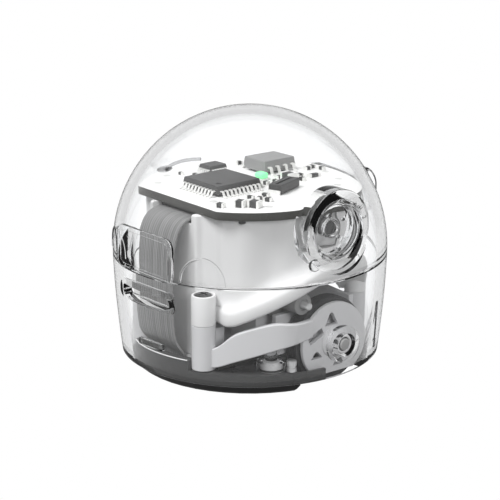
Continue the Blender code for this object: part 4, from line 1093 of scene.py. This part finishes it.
def end_plate(side, s):
    """Fender disc outside the wheel, clipped to the skirt, with its openings and the neck for the axle."""
    x0, x1 = PLATE_X
    turn = "X" if s > 0 else "-X"
    centre = (0, AXLE_Y, AXLE_Z)
    disc = turned(side + "_disc", [
        (0, x0), (PLATE_R - 0.08 * MM, x0), (PLATE_R, x0 + 0.08 * MM), (PLATE_R, x1 - 0.12 * MM),
        (PLATE_R - 0.04 * MM, x1 - 0.04 * MM), (PLATE_R - 0.12 * MM, x1), (0, x1)], GREY, 128, False, centre, turn)
    heights = [1.27 * MM + 8.3 * MM * i / 24 for i in range(25)]
    room = turned(side + "_room", [(0, heights[0])] + [(skirt_radius(z) - WALL - 0.13 * MM, z) for z in heights]
                  + [(0, heights[-1])], GREY, 160, False)
    combine(disc, [room], "INTERSECT")
    windows = []
    for reach, angle, half_width, half_height, tilt in (
            (2.45, 98, 0.85, 0.66, 0), (2.55, 158, 1.0, 0.42, 24), (2.5, 205, 0.8, 0.36, 0), (2.3, 285, 0.8, 0.4, 0)):
        t = radians(angle)
        y, z = AXLE_Y + reach * MM * cos(t), AXLE_Z + reach * MM * sin(t)
        corners = [(-half_width, -half_height), (half_width, -half_height), (half_width * 0.2, half_height),
                   (-half_width * 0.2, half_height)] if tilt == 0 else [
                  (-half_width, -half_height), (half_width, -half_height), (half_width, half_height),
                  (-half_width, half_height)]
        bm = bmesh.new()
        face = bm.faces.new([bm.verts.new((s * 11 * MM, y + (u * cos(radians(tilt)) - v * sin(radians(tilt))) * MM,
                                           z + (u * sin(radians(tilt)) + v * cos(radians(tilt))) * MM))
                             for u, v in corners])
        out = bmesh.ops.extrude_face_region(bm, geom=[face])
        bmesh.ops.translate(bm, vec=(s * MM, 0, 0), verts=[v for v in out["geom"] if isinstance(v, bmesh.types.BMVert)])
        rim = [e for e in bm.edges if abs(e.verts[0].co.x - e.verts[1].co.x) > 1e-6]
        bmesh.ops.bevel(bm, geom=rim, offset=0.1 * MM, segments=4, affect="EDGES", profile=0.5, clamp_overlap=True)
        windows.append(add("window", bm, GREY))
    combine(disc, windows, "DIFFERENCE")
    neck = turned(side + "_neck", [
        (0.72 * MM, x0 + 0.1 * MM), (1.75 * MM, x1 - 0.2 * MM), (1.6 * MM, x1 + 0.12 * MM), (1.25 * MM, x1 + 0.28 * MM),
        (1.1 * MM, x1 + 0.6 * MM), (1.02 * MM, 13.42 * MM), (0.96 * MM, 13.52 * MM), (0.9 * MM, 13.55 * MM),
        (0.8 * MM, 13.55 * MM), (0.72 * MM, 13.45 * MM)], GREY, 96, True, centre, turn)
    bore = rod("bore_cut", 0.72 * MM, (s * 10 * MM, AXLE_Y, AXLE_Z), (s * 12.5 * MM, AXLE_Y, AXLE_Z), GREY, 48)
    combine(disc, [bore], "DIFFERENCE")
    return combine(disc, [neck], "UNION")


def lower_chassis():
    pieces = []
    floor = block("chassis_floor", (-9.1 * MM, -8.2 * MM, 3.4 * MM), (9.1 * MM, 8.2 * MM, 4.3 * MM), GREY, 0.1 * MM)
    corners = []
    for s, e, reach in ((1, 1, 1.5), (-1, 1, 1.5), (1, -1, 3.2), (-1, -1, 3.2)):
        x, y, reach = s * 9.1 * MM, e * 8.2 * MM, reach * MM
        corners.append(block("corner", (x - reach, y - reach, 3 * MM), (x + reach, y + reach, 5 * MM), GREY, turn=45))
    pieces.append(combine(floor, corners, "DIFFERENCE"))
    pieces.append(block("rear_panel", (-7.3 * MM, 7.45 * MM, 3.9 * MM), (7.3 * MM, 8.05 * MM, 6.93 * MM), GREY, 0.1 * MM))
    for side, s in SIDES:
        cheek = block("cheek", (min(s * 8.3, s * 9.0) * MM, -4.2 * MM, 3.5 * MM),
                      (max(s * 8.3, s * 9.0) * MM, 4.2 * MM, CHEEK_TOP), GREY, 0.12 * MM)
        bore = rod("cheek_cut", 0.72 * MM, (s * 7.9 * MM, AXLE_Y, AXLE_Z), (s * 9.5 * MM, AXLE_Y, AXLE_Z), GREY, 32)
        combine(cheek, [bore], "DIFFERENCE")
        cradle = block("cradle", (min(s * 3.0, s * 7.0) * MM, MOTOR_Y - 2.7 * MM, 4.0 * MM),
                       (max(s * 3.0, s * 7.0) * MM, MOTOR_Y + 2.7 * MM, 8.2 * MM), GREY, 0.1 * MM)
        groove = rod("groove_cut", 2.26 * MM, (s * 1 * MM, MOTOR_Y, MOTOR_Z), (s * 8.2 * MM, MOTOR_Y, MOTOR_Z), GREY, 48)
        combine(cradle, [groove], "DIFFERENCE")
        pieces += [cheek, cradle, arm(side, s), end_plate(side, s)]
    for name, x, y in BOSSES:
        e = -1 if y < 0 else 1
        foot = (2.31 if y < 0 else 3.36) * MM
        pieces.append(turned(name + "_boss", [
            (BOSS_R - 0.14 * MM, foot), (BOSS_R - 0.04 * MM, foot + 0.05 * MM), (BOSS_R, foot + 0.16 * MM),
            (BOSS_R, BOSS_JOINT_Z - 0.04 * MM), (BOSS_R - 0.04 * MM, BOSS_JOINT_Z), (0.52 * MM, BOSS_JOINT_Z),
            (0.52 * MM, 4.0 * MM), (0, 4.0 * MM), (0, foot)], GREY, 64, False, (x, y, 0)))
        pieces.append(block("rib", (x - 0.5 * MM, min(y, e * 7.8 * MM), 3.45 * MM),
                            (x + 0.5 * MM, max(y, e * 7.8 * MM), 6.4 * MM), GREY, 0.1 * MM))
    mount(merge("lower_moulding", pieces), "chassis", ["lower_chassis"])


CHEEK_TOP = 7.6 * MM
lower_chassis()


# %% [markdown]
# ## Drive and base

# %% Motors and wheels
def motors():
    for side, s in SIDES:
        x0, x1, r = can_low[0], can_high[0], (can_high[2] - can_low[2]) / 2
        profile = [(0, x0), (r - 0.3 * MM, x0), (r - 0.08 * MM, x0 + 0.08 * MM), (r, x0 + 0.3 * MM), (r, x1 - 0.9 * MM),
                   (r - 0.08 * MM, x1 - 0.85 * MM), (r - 0.08 * MM, x1 - 0.7 * MM), (r, x1 - 0.65 * MM),
                   (r, x1 - 0.25 * MM), (r - 0.2 * MM, x1 - 0.02 * MM), (1.25 * MM, x1 - 0.02 * MM), (1.2 * MM, x1 - 0.3 * MM),
                   (0.95 * MM, x1 - 0.3 * MM), (0.9 * MM, x1), (0.65 * MM, x1), (0.65 * MM, 6.5 * MM), (0, 6.5 * MM)]
        can = turned(side + "_can_shell", profile, CAN, 72, False, (0, MOTOR_Y, MOTOR_Z), "X" if s > 0 else "-X")
        mount(can, "chassis", [side + "_motor_can"])
        rs, x_in, x_out = (shaft_high[2] - shaft_low[2]) / 2, shaft_low[0], shaft_high[0]
        turn, centre = "X" if s > 0 else "-X", (0, MOTOR_Y, MOTOR_Z)
        tip = turned(side + "_tip", [
            (0, x_in), (0.4 * MM, x_in), (0.4 * MM, x_out - 0.1 * MM), (0.36 * MM, x_out - 0.03 * MM),
            (0.28 * MM, x_out), (0, x_out)], STEEL, 48, False, centre, turn)
        sleeve = turned(side + "_sleeve", [
            (0.41 * MM, 8.25 * MM), (rs - 0.12 * MM, 8.25 * MM), (rs - 0.03 * MM, 8.29 * MM), (rs, 8.4 * MM),
            (rs, 10.85 * MM), (rs - 0.03 * MM, 10.95 * MM), (rs - 0.12 * MM, 11.0 * MM), (0.62 * MM, 11.0 * MM),
            (0.58 * MM, 10.9 * MM), (0.41 * MM, 10.9 * MM)], SLEEVE, 72, True, centre, turn)
        mount(merge(side + "_roller", [tip, sleeve]), side + "_motor_rotor", [side + "_motor_shaft"])


def wheels():
    half = (tyre_high[0] - tyre_low[0]) / 2
    mid = (tyre_high[0] + tyre_low[0]) / 2
    for side, s in SIDES:
        centre = (s * mid, AXLE_Y, AXLE_Z)
        outer = []
        for k in range(17):
            h = half - 0.28 * MM - (2 * half - 0.56 * MM) * k / 16
            groove = 0.05 * MM if k % 4 == 2 else 0.0
            outer.append((TYRE_R - groove, h))
        tyre = [(3.6 * MM, half), (TYRE_R - 0.28 * MM, half), (TYRE_R - 0.08 * MM, half - 0.1 * MM)] + outer
        tyre += [(TYRE_R - 0.08 * MM, -half + 0.1 * MM), (TYRE_R - 0.28 * MM, -half), (3.6 * MM, -half)]
        mount(turned(side + "_tread", tyre, RUBBER, 120, True, centre, "X"), side + "_wheel", [side + "_tyre"])
        hub = [(3.5 * MM, half - 0.15 * MM), (3.5 * MM, -half + 0.15 * MM), (2.95 * MM, -half + 0.15 * MM),
               (2.75 * MM, -0.25 * MM), (1.45 * MM, -0.25 * MM), (1.3 * MM, -half + 0.1 * MM), (0.68 * MM, -half + 0.1 * MM),
               (0.68 * MM, half - 0.1 * MM), (1.3 * MM, half - 0.1 * MM), (1.45 * MM, 0.25 * MM), (2.75 * MM, 0.25 * MM),
               (2.95 * MM, half - 0.15 * MM)]
        rim = turned(side + "_rim", hub, GREY, 96, True, centre, "X")
        holes = []
        for k in range(5):
            a = 2 * pi * k / 5 + 0.3
            y, z = AXLE_Y + 2.1 * MM * cos(a), AXLE_Z + 2.1 * MM * sin(a)
            holes.append(rod("rim_cut", 0.42 * MM, ((s * mid) - MM, y, z), ((s * mid) + MM, y, z), GREY, 24))
        combine(rim, holes, "DIFFERENCE")
        mount(rim, side + "_wheel", [side + "_hub"])
        a_low, a_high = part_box(side + "_axle")
        axle = rod(side + "_axle_pin", (a_high[2] - a_low[2]) / 2, (a_low[0], AXLE_Y, AXLE_Z), (a_high[0], AXLE_Y, AXLE_Z),
                   STEEL, 48, 0.12 * MM)
        mount(axle, side + "_wheel", [side + "_axle"])


motors()
wheels()


# %% Base
def base_parts():
    for node, mat, slot in (("base_tray", TRAY, "tray_plastic"), ("foot_plate", FOOT, "black_plastic"),
                            ("sensor_board", BOARD, "board")):
        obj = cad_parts[node]
        obj.data.materials.clear()
        obj.data.materials.append(mat)
        obj.data.shade_smooth()
        obj.data.set_sharp_from_angle(angle=radians(30))
    # Thin light tubes along the tray's front top edge and down its two ends: a painted highlight, not a part of the
    # tray.
    line = [polar(12.27 * MM, a, tray_high[2] - 0.02 * MM) for a in range(-20, 21, 2)]
    ends = [[polar(12.2 * MM, a, z * MM) for z in (3.25, 2.4, 1.5)] for a in (-20.6, 20.6)]
    edges = [tube("highlight_top", line, 0.06 * MM, PAINTED_EDGE_HIGHLIGHT)] + [tube("highlight_end", p, 0.05 * MM, PAINTED_EDGE_HIGHLIGHT) for p in ends]
    mount(merge("tray_painted_edge_highlight", edges), "chassis")
    for number in range(1, 6):
        low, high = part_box(f"line_sensor_{number}")
        angle = (-46, -23, 0, 23, 46)[number - 1]
        x, y, _ = polar(8.2 * MM, angle, 0)
        body = block(f"sensor_{number}_body", (x - 0.9 * MM, y - 0.6 * MM, low[2]), (x + 0.9 * MM, y + 0.6 * MM, high[2]), CHIP,
                     0.08 * MM, 3, angle)
        lenses = []
        for s in (-1, 1):
            a = radians(angle)
            cx, cy = x + s * 0.42 * MM * cos(a), y + s * 0.42 * MM * sin(a)
            lenses.append(rod("lens", 0.26 * MM, (cx, cy, low[2] - 0.03 * MM), (cx, cy, low[2] + 0.1 * MM), STEEL, 24, 0.03 * MM))
        mount(merge(f"sensor_{number}", [body] + lenses), "chassis", [f"line_sensor_{number}"])
    low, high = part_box("colour_sensor")
    lens = turned("colour_lens", [(0, low[2]), (0.5 * MM, low[2] + 0.02 * MM), (0.85 * MM, low[2] + 0.1 * MM),
                                  (1.0 * MM, low[2] + 0.25 * MM), (1.0 * MM, high[2]), (0, high[2])], CLEAR, 48, False,
                  (0, -4.2 * MM, 0))
    mount(lens, "chassis", ["colour_sensor"])


def light_guides():
    base = guide_low[2]
    r = (guide_high[0] - guide_low[0]) / 2
    x, y = (guide_low[0] + guide_high[0]) / 2, (guide_low[1] + guide_high[1]) / 2
    pin_r = (pin_high[0] - pin_low[0]) / 2
    pin_x, pin_y = (pin_low[0] + pin_high[0]) / 2, (pin_low[1] + pin_high[1]) / 2
    for side, s in SIDES:
        guide = turned(side + "_guide_body", [
            (0, 4.6 * MM), (0.45 * MM, 4.6 * MM), (0.57 * MM, 4.5 * MM), (0.6 * MM, 3.35 * MM), (0.7 * MM, 3.3 * MM),
            (r - 0.14 * MM, 3.3 * MM), (r - 0.04 * MM, 3.24 * MM), (r, 3.14 * MM), (r, base + 0.1 * MM),
            (r - 0.1 * MM, base), (0, base)], CLEAR, 64, False, (s * x, y, 0))
        mount(guide, "chassis", [side + "_light_guide"])
        lamp = rod(side + "_guide_lamp", 0.55 * r, (s * x, y, base + 0.12 * MM), (s * x, y, 3.0 * MM), WHITE, 48, 0.06 * MM)
        mount(lamp, "chassis")
        pin = turned(side + "_pin_body", [
            (0, pin_high[2]), (pin_r - 0.14 * MM, pin_high[2]), (pin_r - 0.03 * MM, pin_high[2] - 0.06 * MM),
            (pin_r, pin_high[2] - 0.2 * MM), (pin_r, 2.95 * MM), (pin_r - 0.08 * MM, 2.9 * MM),
            (pin_r - 0.08 * MM, 2.72 * MM), (pin_r, 2.67 * MM), (pin_r, base), (0, base)], PIN, 48, False,
            (s * pin_x, pin_y, 0))
        mount(pin, "chassis", [side + "_guide_pin"])


base_parts()
light_guides()
